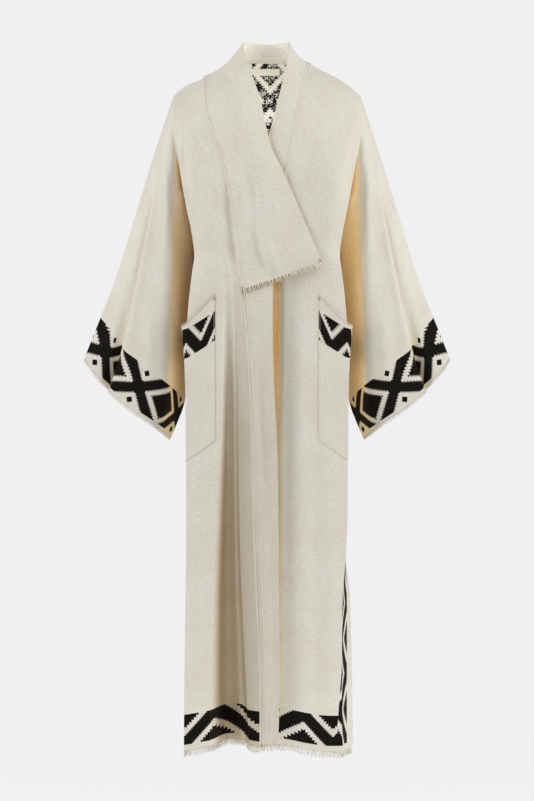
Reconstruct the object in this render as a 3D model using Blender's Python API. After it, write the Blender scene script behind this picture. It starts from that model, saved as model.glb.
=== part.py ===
"""Open-front kaftan of heavy cotton, in the hollow form that it has when it is worn.

Every piece of cloth is a wall of even thickness. Its outer face is a grid of points, worked out
from short tables of sections, and its inner face is the same grid moved in by the thickness.
Sizes in the tables are millimetres. Across runs to the wearer's left, depth runs to the back and
height runs up, from the shoulder line at the middle of the neck.
"""

from collections import namedtuple

import bpy
import numpy as np

METRE_PER_MM = 0.001

CLOTH = 2.0
SEAM_GAP = 0.3
LAYER_GAP = 0.9

# Walls that meet at a seam split their rims from the corner that lies further this way
RIM_ORDER = (0.37, 0.11, 1.0)

RIGHT = -1.0
LEFT = 1.0

SIDE_SEAM_DEPTH = 20.0
UNDERARM_HEIGHT = -365.0
SLIT_TOP = -896.0
HEM = -1354.0

Point = namedtuple("Point", "across depth height")

# The shoulder line, a little round between the collar and the shoulder point
SHOULDER = Point(190.0, 0.0, -42.0)
SHOULDER_ROUND = 7.0

# The armhole, from the shoulder point down to the underarm, on the front and on the back
ARMHOLE_FRONT = [
    Point(190.0, 0.0, -42.0),
    Point(191.5, -36.0, -70.0),
    Point(189.0, -60.0, -112.0),
    Point(184.0, -70.0, -160.0),
    Point(173.0, -60.0, -215.0),
    Point(160.0, -38.0, -272.0),
    Point(150.0, -8.0, -332.0),
    Point(146.0, 20.0, -365.0),
]
ARMHOLE_BACK = [
    Point(190.0, 0.0, -42.0),
    Point(191.5, 36.0, -72.0),
    Point(189.0, 62.0, -115.0),
    Point(182.0, 82.0, -175.0),
    Point(168.0, 82.0, -245.0),
    Point(153.0, 56.0, -325.0),
    Point(146.0, 20.0, -365.0),
]

# The body's side, as a fold line at the front and the edge behind it
Side = namedtuple("Side", "height fold_across fold_depth edge_across edge_depth")
SIDE_RIGHT = [
    Side(-365.0, 144.0, -94.0, 146.0, 20.0),
    Side(-457.0, 155.0, -100.0, 136.0, 20.0),
    Side(-550.0, 161.0, -102.0, 136.0, 20.0),
    Side(-740.0, 160.5, -104.0, 140.0, 20.0),
    Side(-896.0, 160.5, -105.0, 145.0, 20.0),
    Side(-1060.0, 162.0, -106.0, 149.0, 4.0),
    Side(-1250.0, 164.5, -106.0, 152.0, -14.0),
    Side(-1354.0, 165.0, -106.0, 154.0, -24.0),
]
SIDE_LEFT = [
    Side(-365.0, 144.0, -94.0, 146.0, 20.0),
    Side(-457.0, 155.0, -100.0, 136.0, 20.0),
    Side(-550.0, 161.0, -102.0, 136.0, 20.0),
    Side(-740.0, 160.5, -104.0, 140.0, 20.0),
    Side(-896.0, 160.0, -105.0, 148.0, 20.0),
    Side(-1060.0, 157.0, -106.0, 160.0, 4.0),
    Side(-1250.0, 155.5, -106.0, 166.0, -18.0),
    Side(-1354.0, 155.0, -106.0, 169.0, -27.0),
]

# Above the underarm the fold line stands in front of the armhole seam
FoldAbove = namedtuple("FoldAbove", "height across depth")
FOLD_ABOVE = [
    FoldAbove(-42.0, 187.0, -5.0),
    FoldAbove(-70.0, 188.0, -43.0),
    FoldAbove(-112.0, 184.0, -70.0),
    FoldAbove(-160.0, 178.0, -84.0),
    FoldAbove(-215.0, 171.0, -92.0),
    FoldAbove(-272.0, 161.0, -95.0),
    FoldAbove(-332.0, 148.0, -94.0),
    FoldAbove(-365.0, 144.0, -94.0),
]

# The collar band, from the middle of the back neck to its front end: seam side and free side.
# Its fourth row lies on the shoulder line.
Band = namedtuple("Band", "seam_across seam_depth seam_height free_across free_depth free_height crown")
SHOULDER_STATION = 3
COLLAR_RIGHT = [
    Band(0.0, 62.0, 35.0, 0.0, 60.0, 72.0, 0.0),
    Band(-50.0, 56.0, 31.0, -28.0, 49.0, 72.0, 0.0),
    Band(-100.0, 32.0, 12.0, -46.0, 20.0, 71.0, -6.0),
    Band(-130.0, 0.0, -6.0, -49.0, -8.0, 66.0, -9.0),
    Band(-128.0, -45.0, -45.0, -41.0, -40.0, 28.0, -4.0),
    Band(-121.8, -75.0, -85.0, -28.0, -68.0, -12.0, 3.0),
    Band(-100.4, -100.0, -153.0, -8.0, -93.0, -78.0, 7.0),
    Band(-86.0, -112.0, -202.0, 2.0, -109.0, -136.0, 8.0),
    Band(-73.0, -118.0, -276.0, 37.6, -126.0, -217.0, 8.0),
    Band(-63.0, -120.0, -333.0, 73.0, -130.0, -300.0, 6.0),
    Band(-57.0, -120.0, -393.0, 95.0, -129.0, -352.0, 4.0),
    Band(-49.5, -120.0, -440.0, 108.7, -127.0, -385.0, 2.0),
]
COLLAR_LEFT = [
    Band(0.0, 62.0, 35.0, 0.0, 60.0, 72.0, 0.0),
    Band(50.0, 56.0, 33.0, 28.0, 49.0, 72.0, 0.0),
    Band(80.0, 32.0, 29.0, 46.0, 20.0, 71.0, -3.0),
    Band(91.0, 0.0, 22.0, 49.0, -8.0, 66.0, -5.0),
    Band(78.4, -45.0, -18.5, 41.0, -40.0, 28.0, -2.0),
    Band(65.8, -80.0, -67.0, 28.0, -66.0, -12.0, 3.0),
    Band(51.6, -104.0, -142.0, 8.0, -87.0, -78.0, 6.0),
    Band(37.6, -110.0, -216.0, -18.0, -97.0, -150.0, 4.0),
    Band(20.0, -108.0, -290.0, -38.0, -100.0, -240.0, 2.0),
    Band(2.0, -106.0, -370.0, -46.0, -102.0, -330.0, 0.0),
]

# Shares of the way across a collar band
BAND_SHARES = [0.0, 0.14, 0.32, 0.5, 0.68, 0.86, 1.0]

# The band down the right front below the collar's end
FrontBand = namedtuple("FrontBand", "height seam_across free_across depth")
FRONT_BAND = [
    FrontBand(-443.0, -49.0, 10.9, -120.0),
    FrontBand(-518.0, -43.5, 10.9, -120.0),
    FrontBand(-605.0, -37.6, 12.0, -120.0),
    FrontBand(-692.0, -33.6, 18.0, -119.5),
    FrontBand(-806.0, -31.7, 21.8, -119.0),
    FrontBand(-1000.0, -24.5, 23.6, -118.5),
    FrontBand(-1252.0, -14.8, 24.7, -118.0),
    FrontBand(-1354.0, -14.8, 21.0, -118.0),
]
FRONT_BAND_SHARES = [0.0, 0.35, 0.7, 1.0]
FRONT_BAND_END = -1340.0
FRONT_BAND_TUCK = 6.0
FRONT_BAND_RECESS = 2.8
FRONT_BAND_TOP_SLOPE = 0.348

# The deep fold of the right front: the edge that stands over it, its floor and its outer brow
DeepFold = namedtuple("DeepFold", "height edge_across brow_across depth")
DEEP_FOLD = [
    DeepFold(-42.0, -146.0, -160.0, 0.0),
    DeepFold(-205.0, -108.0, -135.0, 0.5),
    DeepFold(-330.0, -78.0, -104.0, 2.0),
    DeepFold(-440.0, -62.0, -90.0, 5.0),
    DeepFold(-605.0, -58.0, -84.0, 12.0),
    DeepFold(-816.0, -56.0, -86.0, 22.0),
    DeepFold(-994.0, -52.0, -92.0, 33.0),
    DeepFold(-1133.0, -46.0, -98.0, 42.0),
    DeepFold(-1354.0, -35.5, -110.0, 54.0),
]
FOLD_WALL = 1.5
FOLD_LEAST_WIDTH = 8.0
FOLD_EDGE_SINKS = [0.0, 0.0, 0.04, 0.9]
FOLD_SHARES = [0.14, 0.34, 0.56, 0.78, 1.0]

# The shallow trough of the left front, beside the lap
Trough = namedtuple("Trough", "height across half_width depth")
TROUGH_LEFT = [
    Trough(-42.0, 150.0, 30.0, 0.0),
    Trough(-330.0, 60.0, 30.0, 3.0),
    Trough(-605.0, 38.0, 30.0, 9.0),
    Trough(-994.0, 40.0, 28.0, 12.0),
    Trough(-1354.0, 44.0, 30.0, 12.0),
]

# Depth of the left front beside the middle, where the lap lies over it
LapUnder = namedtuple("LapUnder", "height across depth")
LAP_UNDER = [
    LapUnder(-370.0, 2.0, -106.0),
    LapUnder(-440.0, -16.0, -96.0),
    LapUnder(-605.0, -22.0, -96.0),
    LapUnder(-900.0, -22.0, -100.0),
    LapUnder(-1354.0, -22.0, -106.0),
]

# Shares of the way across the front panels: to the pocket's inner edge, on to the side fold, and
# round the side to the edge
LEFT_INNER_SHARES = [0.0, 0.13, 0.27, 0.41, 0.56, 0.7, 0.85, 1.0]
OUTER_SHARES = [0.35, 0.7, 0.9, 1.0]
SIDE_SHARES = [0.12, 0.4, 0.7, 1.0]
LINE_SHARE = 0.3
CHEST_FULLNESS = 10.0
CHEST_ROWS = 6.0
SIDE_FULLNESS = 0.022

# The middle of the back, and the body's back corners
BackLine = namedtuple("BackLine", "height depth corner_across corner_depth")
BACK = [
    BackLine(35.0, 62.0, 120.0, 20.0),
    BackLine(-20.0, 84.0, 150.0, 50.0),
    BackLine(-80.0, 99.0, 158.0, 84.0),
    BackLine(-170.0, 110.0, 158.0, 101.0),
    BackLine(-270.0, 113.0, 146.0, 104.0),
    BackLine(-365.0, 113.0, 134.0, 98.0),
    BackLine(-560.0, 113.0, 130.0, 96.0),
    BackLine(-896.0, 116.0, 140.0, 98.0),
    BackLine(-1354.0, 124.0, 150.0, 104.0),
]
BACK_EDGE = [
    Point(136.0, 20.0, -896.0),
    Point(143.0, 30.0, -1060.0),
    Point(149.0, 44.0, -1250.0),
    Point(151.0, 50.0, -1354.0),
]

# Shares of the way from the middle of the back to its edge
BACK_HALF = [0.11, 0.22, 0.33, 0.44, 0.55, 0.7, 0.84, 0.93, 1.0]
BACK_SHARES = [-share for share in BACK_HALF[::-1]] + [0.0] + BACK_HALF
NECK_COLUMNS = 5
BACK_CORNER_COLUMN = 7
BACK_CORNER_FALL = 0.8
BACK_ROW_POWER = 1.15
BACK_LIFT_ROWS = 7.0

# The sleeve: its top fold, front ridge, inner fold and back, with the bulge and the narrow pleat
SleeveRow = namedtuple(
    "SleeveRow",
    "along fold_across fold_depth fold_height ridge_across ridge_depth ridge_height "
    "inner_across inner_depth inner_height back_across back_depth back_height bulge sag pleat",
)
SLEEVE = [
    SleeveRow(0.0, 190, 0, -42, 176, -66, -205, 146, 20, -365, 182, 82, -175, 16, 0, 0),
    SleeveRow(0.22, 229, -5, -160, 193, -77, -268, 150, 29, -430, 190, 78, -285, 18, 2, 0),
    SleeveRow(0.45, 266, -12, -282, 194, -80, -395, 153, 34, -510, 204, 70, -405, 20, 4, 3),
    SleeveRow(0.68, 306, -18, -412, 194, -80, -520, 158, 35, -590, 224, 62, -525, 22, 8, 8),
    SleeveRow(0.86, 343, -22, -508, 199, -76, -632, 170, 26, -668, 246, 56, -615, 22, 14, 18),
    SleeveRow(1.0, 368, -24, -571, 218, -67, -712, 195, 10, -733, 274, 45, -668, 22, 18, 30),
]

SLEEVE_ALONG = [0.0, 0.07, 0.17, 0.28, 0.39, 0.5, 0.61, 0.71, 0.8, 0.87, 0.94, 1.0]
SLEEVE_EASE = 0.45
SLEEVE_BULGE_SKEW = 0.8
PLEAT_SHIFT = 2.0
SLEEVE_BACK_FULLNESS = 9.0

# Columns of a sleeve's front from the top fold to the ridge, with their share of the pleat
SleeveColumn = namedtuple("SleeveColumn", "way pleat")
SLEEVE_FRONT = [
    SleeveColumn(0.0, 0.0),
    SleeveColumn(0.12, 0.0),
    SleeveColumn(0.24, 0.25),
    SleeveColumn(0.33, 1.0),
    SleeveColumn(0.345, 0.0),
    SleeveColumn(0.5, 0.0),
    SleeveColumn(0.66, 0.0),
    SleeveColumn(0.82, 0.0),
]
SLEEVE_INNER_COLUMNS = 4

# Rows of the grids below the underarm
LOWER_HEIGHTS = [-402.0, -440.0, -500.0, -570.0, -650.0, -735.0, -815.0, -896.0, -960.0, -1040.0,
                 -1130.0, -1220.0, -1300.0, HEM]
ARMHOLE_FRONT_ROWS = 12
ARMHOLE_BACK_ROWS = 8
LEVEL_ROW = 8
COLLAR_END_ROW = ARMHOLE_FRONT_ROWS + 2

# How far the shoulder's and the hem's own lines reach into the rows beside them
SHOULDER_FADE = [1.0, 0.7, 0.4, 0.15]
HEM_FADE = [1.0, 0.55, 0.2]

# The hem's own rise over its lowest line, by place across
HemRise = namedtuple("HemRise", "across rise")
HEM_RISE_RIGHT = [
    HemRise(-165.0, 0.0),
    HemRise(-150.0, 2.0),
    HemRise(-110.0, 12.0),
    HemRise(-80.0, 17.0),
    HemRise(-40.0, 16.0),
    HemRise(-30.0, 10.0),
    HemRise(-10.0, 8.0),
]
HEM_RISE_LEFT = [
    HemRise(-30.0, 7.0),
    HemRise(30.0, 8.0),
    HemRise(70.0, 1.0),
    HemRise(170.0, -2.0),
]

# Fringes: length of the strands, and the cloth that one strand of the solid stands for
FRINGE_GAP = 0.5
FRINGE_STRIP = 2.5
FRINGE_THICKNESS = 1.2
HEM_FRINGE = 11.0
CUFF_FRINGE = 7.0
COLLAR_FRINGE = 9.0
POCKET_FRINGE = 6.0
SLIT_FRINGE = 5.0
SLIT_FRINGE_TOP = -1040.0
HEM_PITCH = 18.0
CUFF_PITCH = 24.0
SLIT_PITCH = 30.0
COLLAR_PITCH = 14.0
POCKET_PITCH = 20.0
STRAND_TIP = 0.4

# The pockets: their slanted top and bottom fall away from the inner edge, and less round the side
POCKET_INNER_ACROSS = 103.0
POCKET_TOP = -452.0
POCKET_BOTTOM = -738.0
POCKET_TOP_SLOPE = 1.05
POCKET_BOTTOM_SLOPE = 0.7
POCKET_SIDE_SHARE = 0.4
POCKET_GAPE = 10.0
POCKET_GAPE_POWER = 4
POCKET_ROWS = 6
POCKET_ROW_POWER = 1.2

# The bare neck label inside the back neck
LABEL_WIDTH = 52.0
LABEL_TOP = 24.0
LABEL_BOTTOM = 11.0
LABEL_THICKNESS = 1.0


def smooth_value(keys, values, at):
    """Read a value between table rows, on a smooth curve that never overshoots its rows."""
    keys = np.asarray(keys, float)
    values = np.asarray(values, float)
    if keys[0] > keys[-1]:
        keys = keys[::-1]
        values = values[::-1]
    at = float(np.clip(at, keys[0], keys[-1]))
    steps = np.diff(keys)
    slopes = np.diff(values) / steps
    tangents = np.zeros(len(keys))
    tangents[0] = slopes[0]
    tangents[-1] = slopes[-1]
    for i in range(1, len(keys) - 1):
        if slopes[i - 1] * slopes[i] > 0.0:
            tangents[i] = 2.0 * slopes[i - 1] * slopes[i] / (slopes[i - 1] + slopes[i])
    i = min(int(np.searchsorted(keys, at, side="right")) - 1, len(steps) - 1)
    t = (at - keys[i]) / steps[i]
    start = (1.0 + 2.0 * t) * (1.0 - t) ** 2 * values[i]
    end = t * t * (3.0 - 2.0 * t) * values[i + 1]
    bend = steps[i] * t * (1.0 - t) * ((1.0 - t) * tangents[i] - t * tangents[i + 1])
    return start + end + bend


def table_value(table, column, height):
    """Read one column of a table whose rows are named by their height."""
    return smooth_value([row.height for row in table], [getattr(row, column) for row in table], height)


def smooth_line(points, count):
    """Spread count + 1 points along a smooth curve through the given points."""
    points = np.asarray(points, float)
    lengths = np.concatenate([[0.0], np.cumsum(np.linalg.norm(np.diff(points, axis=0), axis=1))])
    places = np.linspace(0.0, lengths[-1], count + 1)
    return np.array([[smooth_value(lengths, points[:, axis], at) for axis in range(3)] for at in places])


def blend(start, end, share):
    return np.asarray(start, float) * (1.0 - share) + np.asarray(end, float) * share


def smooth_step(share):
    share = min(max(share, 0.0), 1.0)
    return share * share * (3.0 - 2.0 * share)


def grid_normals(grid, closed=False):
    """Average the directions of the faces around each point of a grid of rows and columns."""
    rows, columns = grid.shape[:2]
    normals = np.zeros_like(grid)
    last = columns if closed else columns - 1
    for r in range(rows - 1):
        for c in range(last):
            d = (c + 1) % columns
            face = np.cross(grid[r + 1, d] - grid[r, c], grid[r, d] - grid[r + 1, c])
            length = np.linalg.norm(face)
            if length > 1e-9:
                face = face / length
            for row, column in ((r, c), (r, d), (r + 1, c), (r + 1, d)):
                normals[row, column] += face
    return normals / np.linalg.norm(normals, axis=2, keepdims=True)


def link_mesh(name, points, faces, material):
    """Make a closed object from points in millimetres, with its faces turned outwards."""
    points = np.asarray(points, float)
    volume = 0.0
    for face in faces:
        for i in range(1, len(face) - 1):
            a, b, c = points[face[0]], points[face[i]], points[face[i + 1]]
            volume += np.dot(a, np.cross(b, c))
    if volume < 0.0:
        faces = [face[::-1] for face in faces]
    mesh = bpy.data.meshes.new(name)
    mesh.from_pydata((points * METRE_PER_MM).tolist(), [], [tuple(face) for face in faces])
    mesh.validate()
    mesh.shade_smooth()
    mesh.materials.append(material)
    thing = bpy.data.objects.new(name, mesh)
    bpy.context.scene.collection.objects.link(thing)
    thing.parent = kaftan
    return thing


def rim_faces(points, near, far, inner_near, inner_far):
    """Split a rim's face from its higher outer corner, so that walls that meet are split alike."""
    if np.dot(points[near] - points[far], RIM_ORDER) > 0.0:
        return [(near, far, inner_far), (near, inner_far, inner_near)]
    return [(near, far, inner_near), (far, inner_far, inner_near)]


def cloth_wall(name, grid, inward, material, thickness=CLOTH, closed=False):
    """Make a wall of cloth: the grid is its outer face, and inward holds the way to its inner face."""
    rows, columns = grid.shape[:2]
    half = rows * columns
    points = np.concatenate([grid.reshape(-1, 3), (grid + inward * thickness).reshape(-1, 3)])
    faces = []
    last = columns if closed else columns - 1
    for r in range(rows - 1):
        for c in range(last):
            d = (c + 1) % columns
            a, b, e, f = r * columns + c, r * columns + d, (r + 1) * columns + d, (r + 1) * columns + c
            faces.append((a, b, e, f))
            faces.append((half + a, half + f, half + e, half + b))
    bottom = (rows - 1) * columns
    for c in range(last):
        d = (c + 1) % columns
        faces += rim_faces(points, d, c, half + d, half + c)
        faces += rim_faces(points, bottom + c, bottom + d, half + bottom + c, half + bottom + d)
    if not closed:
        for a in range(0, bottom, columns):
            b, e, f = a + columns, a + columns - 1, a + 2 * columns - 1
            faces += rim_faces(points, a, b, half + a, half + b)
            faces += rim_faces(points, f, e, half + f, half + e)
    return link_mesh(name, points, faces, material)


def unit(vectors):
    return vectors / np.linalg.norm(vectors, axis=-1, keepdims=True)


def flattened(vectors, axis):
    """Drop one part of some directions, and make them whole again."""
    flat = vectors.copy()
    flat[..., axis] = 0.0
    return unit(flat)


def squared(ways, along):
    """Turn directions until they stand square to others."""
    return unit(ways - along * np.sum(ways * along, axis=-1, keepdims=True))


def inward_ways(grid, closed=False):
    """Find the way into the cloth at every point: towards the body's or the sleeve's middle."""
    ways = grid_normals(grid, closed)
    r, c = grid.shape[0] // 2, grid.shape[1] // 2
    middle = grid[r].mean(axis=0) if closed else np.array([0.0, 0.0, grid[r, c, 2]])
    return ways * np.sign(np.dot(ways[r, c], middle - grid[r, c]))


def drawn_back(line, neighbours, distance):
    """Move each point of an edge towards its neighbour, along the cloth."""
    return line + unit(neighbours - line) * distance


def armhole_line(table, side, count):
    """Spread points down one half of an armhole."""
    return smooth_line([(row.across * side, row.depth, row.height) for row in table], count)


def shoulder_point(side):
    return np.array([SHOULDER.across * side, SHOULDER.depth, SHOULDER.height])


def shoulder_rise(share):
    """Find how far the shoulder stands above a straight line, most near the arm."""
    return SHOULDER_ROUND * np.sin(np.pi * share ** 1.5)


def collar_seam(collar):
    return np.array([(row.seam_across, row.seam_depth, row.seam_height) for row in collar])


def seam_point(seam, side, height):
    """Find the point of a front's middle edge at a height: on the collar seam, then below it."""
    if height >= seam[-1][2]:
        return np.array([smooth_value(seam[:, 2], seam[:, 0], height),
                         smooth_value(seam[:, 2], seam[:, 1], height), height])
    table, column = (FRONT_BAND, "seam_across") if side == RIGHT else (LAP_UNDER, "across")
    return np.array([table_value(table, column, height), table_value(table, "depth", height), height])


def front_rows(side, collar):
    """List each row of a front: its point on the middle seam, on the side fold and on its edge."""
    side_table = SIDE_RIGHT if side == RIGHT else SIDE_LEFT
    seam = collar_seam(collar)[SHOULDER_STATION:]
    rows = []
    for r, edge in enumerate(armhole_line(ARMHOLE_FRONT, side, ARMHOLE_FRONT_ROWS)):
        share = min(r / LEVEL_ROW, 1.0)
        height = edge[2] + (seam[0, 2] - edge[2]) * (1.0 - share) ** 1.5
        fold = np.array([table_value(FOLD_ABOVE, "across", edge[2]) * side,
                         table_value(FOLD_ABOVE, "depth", edge[2]), edge[2] + 1.0])
        rows.append([seam_point(seam, side, height), fold, edge])
    for height in LOWER_HEIGHTS:
        fold = np.array([table_value(side_table, "fold_across", height) * side,
                         table_value(side_table, "fold_depth", height), height])
        edge = np.array([table_value(side_table, "edge_across", height) * side,
                         table_value(side_table, "edge_depth", height), height])
        rows.append([seam_point(seam, side, height), fold, edge])
    return rows


def full_side(start, end, side, share):
    """Find a point between two others, on a side that is a little full."""
    point = blend(start, end, share)
    point[0] += side * SIDE_FULLNESS * np.linalg.norm(end - start) * np.sin(np.pi * share)
    return point


def side_points(fold, edge, side):
    """Run from the side fold back to the edge."""
    return [full_side(fold, edge, side, share) for share in SIDE_SHARES]


def pocket_line(middle, fold):
    """Find how far out the column runs that the pocket's inner edge lies on."""
    return max(POCKET_INNER_ACROSS, abs(middle) + LINE_SHARE * (abs(fold) - abs(middle)))


def left_front_grid():
    """Work out the left front: a flat chest, a shallow trough beside the lap, and a rounded side."""
    rows = []
    for r, (middle, fold, edge) in enumerate(front_rows(LEFT, COLLAR_LEFT)):
        line = pocket_line(middle[0], fold[0])
        places = [blend(middle[0], line, share) for share in LEFT_INNER_SHARES]
        places += [blend(line, fold[0], share) for share in OUTER_SHARES]
        front = min(middle[1], fold[1]) - CHEST_FULLNESS * smooth_step(r / CHEST_ROWS)
        row = []
        for place in places:
            share = (place - middle[0]) / (fold[0] - middle[0])
            point = blend(middle, fold, share)
            point[1] = blend(middle[1], front, 1.0 - (1.0 - share) ** 3) + (fold[1] - front) * share ** 5
            distance = place - table_value(TROUGH_LEFT, "across", point[2])
            width = table_value(TROUGH_LEFT, "half_width", point[2])
            point[1] += table_value(TROUGH_LEFT, "depth", point[2]) * np.exp(-(distance / width) ** 2)
            row.append(point)
        rows.append(row + side_points(fold, edge, LEFT))
    return np.array(rows)


def right_front_grid():
    """Work out the right front, with the deep fold beside its band."""
    rows = []
    for middle, fold, edge in front_rows(RIGHT, COLLAR_RIGHT):
        height = middle[2]
        depth = table_value(DEEP_FOLD, "depth", height)
        brow = table_value(DEEP_FOLD, "brow_across", height)
        over = min(table_value(DEEP_FOLD, "edge_across", height), middle[0] - FOLD_LEAST_WIDTH)
        floor = over - FOLD_WALL
        places = [middle[0], blend(middle[0], over, 0.55), over, floor]
        sinks = list(FOLD_EDGE_SINKS)
        for share in FOLD_SHARES:
            places.append(blend(floor, brow, share))
            sinks.append(1.0 - smooth_step((share - FOLD_SHARES[0]) / (1.0 - FOLD_SHARES[0])))
        line = RIGHT * max(pocket_line(middle[0], fold[0]), abs(brow) + FOLD_LEAST_WIDTH)
        for share in [0.0] + OUTER_SHARES:
            places.append(blend(line, fold[0], share))
            sinks.append(0.0)
        row = []
        for place, sink in zip(places, sinks):
            share = (place - middle[0]) / (fold[0] - middle[0])
            point = blend(middle, fold, share)
            point[1] = middle[1] + (fold[1] - middle[1]) * share ** 3 + depth * sink
            row.append(point)
        rows.append(row + side_points(fold, edge, RIGHT))
    return np.array(rows)


def raise_hem(grid, table):
    """Lift the lowest rows to the hem's own line."""
    keys = [row.across for row in table]
    values = [row.rise for row in table]
    for r, fade in enumerate(HEM_FADE):
        for point in grid[-1 - r]:
            point[2] += fade * smooth_value(keys, values, point[0])


def round_shoulder(grid, side):
    """Lift the first rows onto the rounded shoulder line."""
    start, end = grid[0, 0].copy(), shoulder_point(side)
    for r, fade in enumerate(SHOULDER_FADE):
        for point in grid[r]:
            share = min(max((point[0] - start[0]) / (end[0] - start[0]), 0.0), 1.0)
            point[2] += fade * shoulder_rise(share)
    grid[0, :, 1] = 0.0


def back_edge(side, height):
    if height >= SLIT_TOP:
        table = SIDE_RIGHT if side == RIGHT else SIDE_LEFT
        return np.array([table_value(table, "edge_across", height) * side, SIDE_SEAM_DEPTH, height])
    return np.array([table_value(BACK_EDGE, "across", height) * side,
                     table_value(BACK_EDGE, "depth", height), height])


def back_point(edge, side, share, middle_height):
    """Find a point of the back, a share of the way from its middle to its edge."""
    corner_share = BACK_SHARES[middle_column + BACK_CORNER_COLUMN]
    depth = table_value(BACK, "depth", middle_height)
    corner = np.array([table_value(BACK, "corner_across", middle_height) * side,
                       table_value(BACK, "corner_depth", middle_height),
                       blend(middle_height, edge[2], BACK_CORNER_FALL)])
    if share <= corner_share:
        way = share / corner_share
        point = blend([0.0, depth, middle_height], corner, way)
        point[1] = depth + (corner[1] - depth) * way ** 3
        return point
    return full_side(corner, edge, side, (share - corner_share) / (1.0 - corner_share))


def back_top_line():
    """Follow the back's top edge: a shoulder, the neckline and the other shoulder."""
    neck_share = BACK_HALF[NECK_COLUMNS - 1]
    line = []
    for share in BACK_SHARES:
        side = RIGHT if share < 0.0 else LEFT
        neck = collar_seam(COLLAR_RIGHT if side == RIGHT else COLLAR_LEFT)[:SHOULDER_STATION + 1]
        if abs(share) <= neck_share:
            line.append(smooth_line(neck, NECK_COLUMNS)[round(abs(share) / neck_share * NECK_COLUMNS)])
        else:
            way = (abs(share) - neck_share) / (1.0 - neck_share)
            point = blend(neck[-1], shoulder_point(side), way)
            point[2] += shoulder_rise(way)
            line.append(point)
    return np.array(line)


def back_grid():
    """Work out the back from its neckline and shoulders to the hem."""
    arms = {side: armhole_line(ARMHOLE_BACK, side, ARMHOLE_BACK_ROWS) for side in (RIGHT, LEFT)}
    rows = []
    for r, height in enumerate([None] * (ARMHOLE_BACK_ROWS + 1) + LOWER_HEIGHTS):
        if height is None:
            edges = {side: arms[side][r] for side in (RIGHT, LEFT)}
            middle_height = blend(BACK[0].height, UNDERARM_HEIGHT, (r / ARMHOLE_BACK_ROWS) ** BACK_ROW_POWER)
        else:
            edges = {side: back_edge(side, height) for side in (RIGHT, LEFT)}
            middle_height = height
        row = []
        for share in BACK_SHARES:
            side = RIGHT if share < 0.0 else LEFT
            row.append(back_point(edges[side], side, abs(share), middle_height))
        rows.append(row)
    grid = np.array(rows)
    lift = back_top_line() - grid[0]
    for r in range(int(BACK_LIFT_ROWS)):
        grid[r, 1:-1] += lift[1:-1] * (1.0 - r / BACK_LIFT_ROWS) ** 1.5
    return grid


def sleeve_ring(along):
    """Work out one ring of a sleeve: over the front from the top fold, then back behind."""
    value = {name: smooth_value([row.along for row in SLEEVE], [getattr(row, name) for row in SLEEVE], along)
             for name in SleeveRow._fields}
    fold, ridge, inner, rear = (np.array([value[place + "_" + way] for way in Point._fields])
                                for place in ("fold", "ridge", "inner", "back"))
    ring = []
    for column in SLEEVE_FRONT:
        point = blend(fold, ridge, column.way)
        swell = np.sin(np.pi * column.way ** SLEEVE_BULGE_SKEW)
        point[0] -= PLEAT_SHIFT * column.pleat
        point[1] += column.pleat * value["pleat"] - swell * value["bulge"]
        point[2] -= swell * value["sag"]
        ring.append(point)
    for c in range(SLEEVE_INNER_COLUMNS + 1):
        ring.append(blend(ridge, inner, c / SLEEVE_INNER_COLUMNS))
    for start, end, ways in ((inner, rear, (0.25, 0.5, 0.75, 1.0)), (rear, fold, (0.25, 0.5, 0.75))):
        for way in ways:
            point = blend(start, end, way)
            point[1] += SLEEVE_BACK_FULLNESS * np.sin(np.pi * way)
            ring.append(point)
    return np.array(ring)


def sleeve_grid(side):
    """Work out a sleeve as rings from the armhole to the cuff."""
    front = armhole_line(ARMHOLE_FRONT, LEFT, ARMHOLE_FRONT_ROWS)
    back = armhole_line(ARMHOLE_BACK, LEFT, ARMHOLE_BACK_ROWS)
    armhole = np.concatenate([front, back[1:-1][::-1]])
    grid = np.array([sleeve_ring(along) for along in SLEEVE_ALONG])
    away = armhole - grid[0]
    for r, along in enumerate(SLEEVE_ALONG):
        grid[r] += away * max(1.0 - along / SLEEVE_EASE, 0.0) ** 2
    grid[:, :, 0] *= side
    return grid


def running_length(line):
    return np.concatenate([[0.0], np.cumsum(np.linalg.norm(np.diff(line, axis=0), axis=1))])


def collar_grid(seam, collar):
    """Work out a collar half: from its seam, across the band, to its free edge."""
    keys = running_length(collar_seam(collar))
    places = running_length(seam)
    places = places * keys[-1] / places[-1]
    free = np.array([[smooth_value(keys, [getattr(row, name) for row in collar], place)
                      for name in ("free_across", "free_depth", "free_height")] for place in places])
    crown = np.array([smooth_value(keys, [row.crown for row in collar], place) for place in places])
    out = unit(np.cross(np.gradient(seam, axis=0), free - seam))
    columns = [blend(seam, free, share) + out * (crown * np.sin(np.pi * share))[:, None]
               for share in BAND_SHARES]
    return np.array(columns).transpose(1, 0, 2)


def front_band_grid(edge):
    """Work out the band from the right front's own middle edge; its top lies under the collar."""
    rows = []
    for point in edge:
        free = np.array([table_value(FRONT_BAND, "free_across", point[2]), point[1] - 1.0, point[2]])
        rows.append([blend(point, free, share) for share in FRONT_BAND_SHARES])
    grid = np.array(rows)
    grid[0, :, 1] += FRONT_BAND_RECESS
    grid[0, :, 2] += FRONT_BAND_TUCK + (grid[0, :, 0] - grid[0, 0, 0]) * FRONT_BAND_TOP_SLOPE
    return grid


def strand_places(edge, down, inward, pitch, closed):
    """Split each stretch of a cloth edge into strands, and give every split its own directions."""
    stretches = [(i, (i + 1) % len(edge)) for i in range(len(edge) if closed else len(edge) - 1)]
    places = []
    for i, j in stretches:
        pieces = max(1, round(np.linalg.norm(edge[j] - edge[i]) / pitch))
        for k in range(pieces):
            places.append([blend(values[i], values[j], k / pieces) for values in (edge, down, inward)])
    if not closed:
        places.append([edge[-1], down[-1], inward[-1]])
    return np.array(places).transpose(1, 0, 2)


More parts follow.
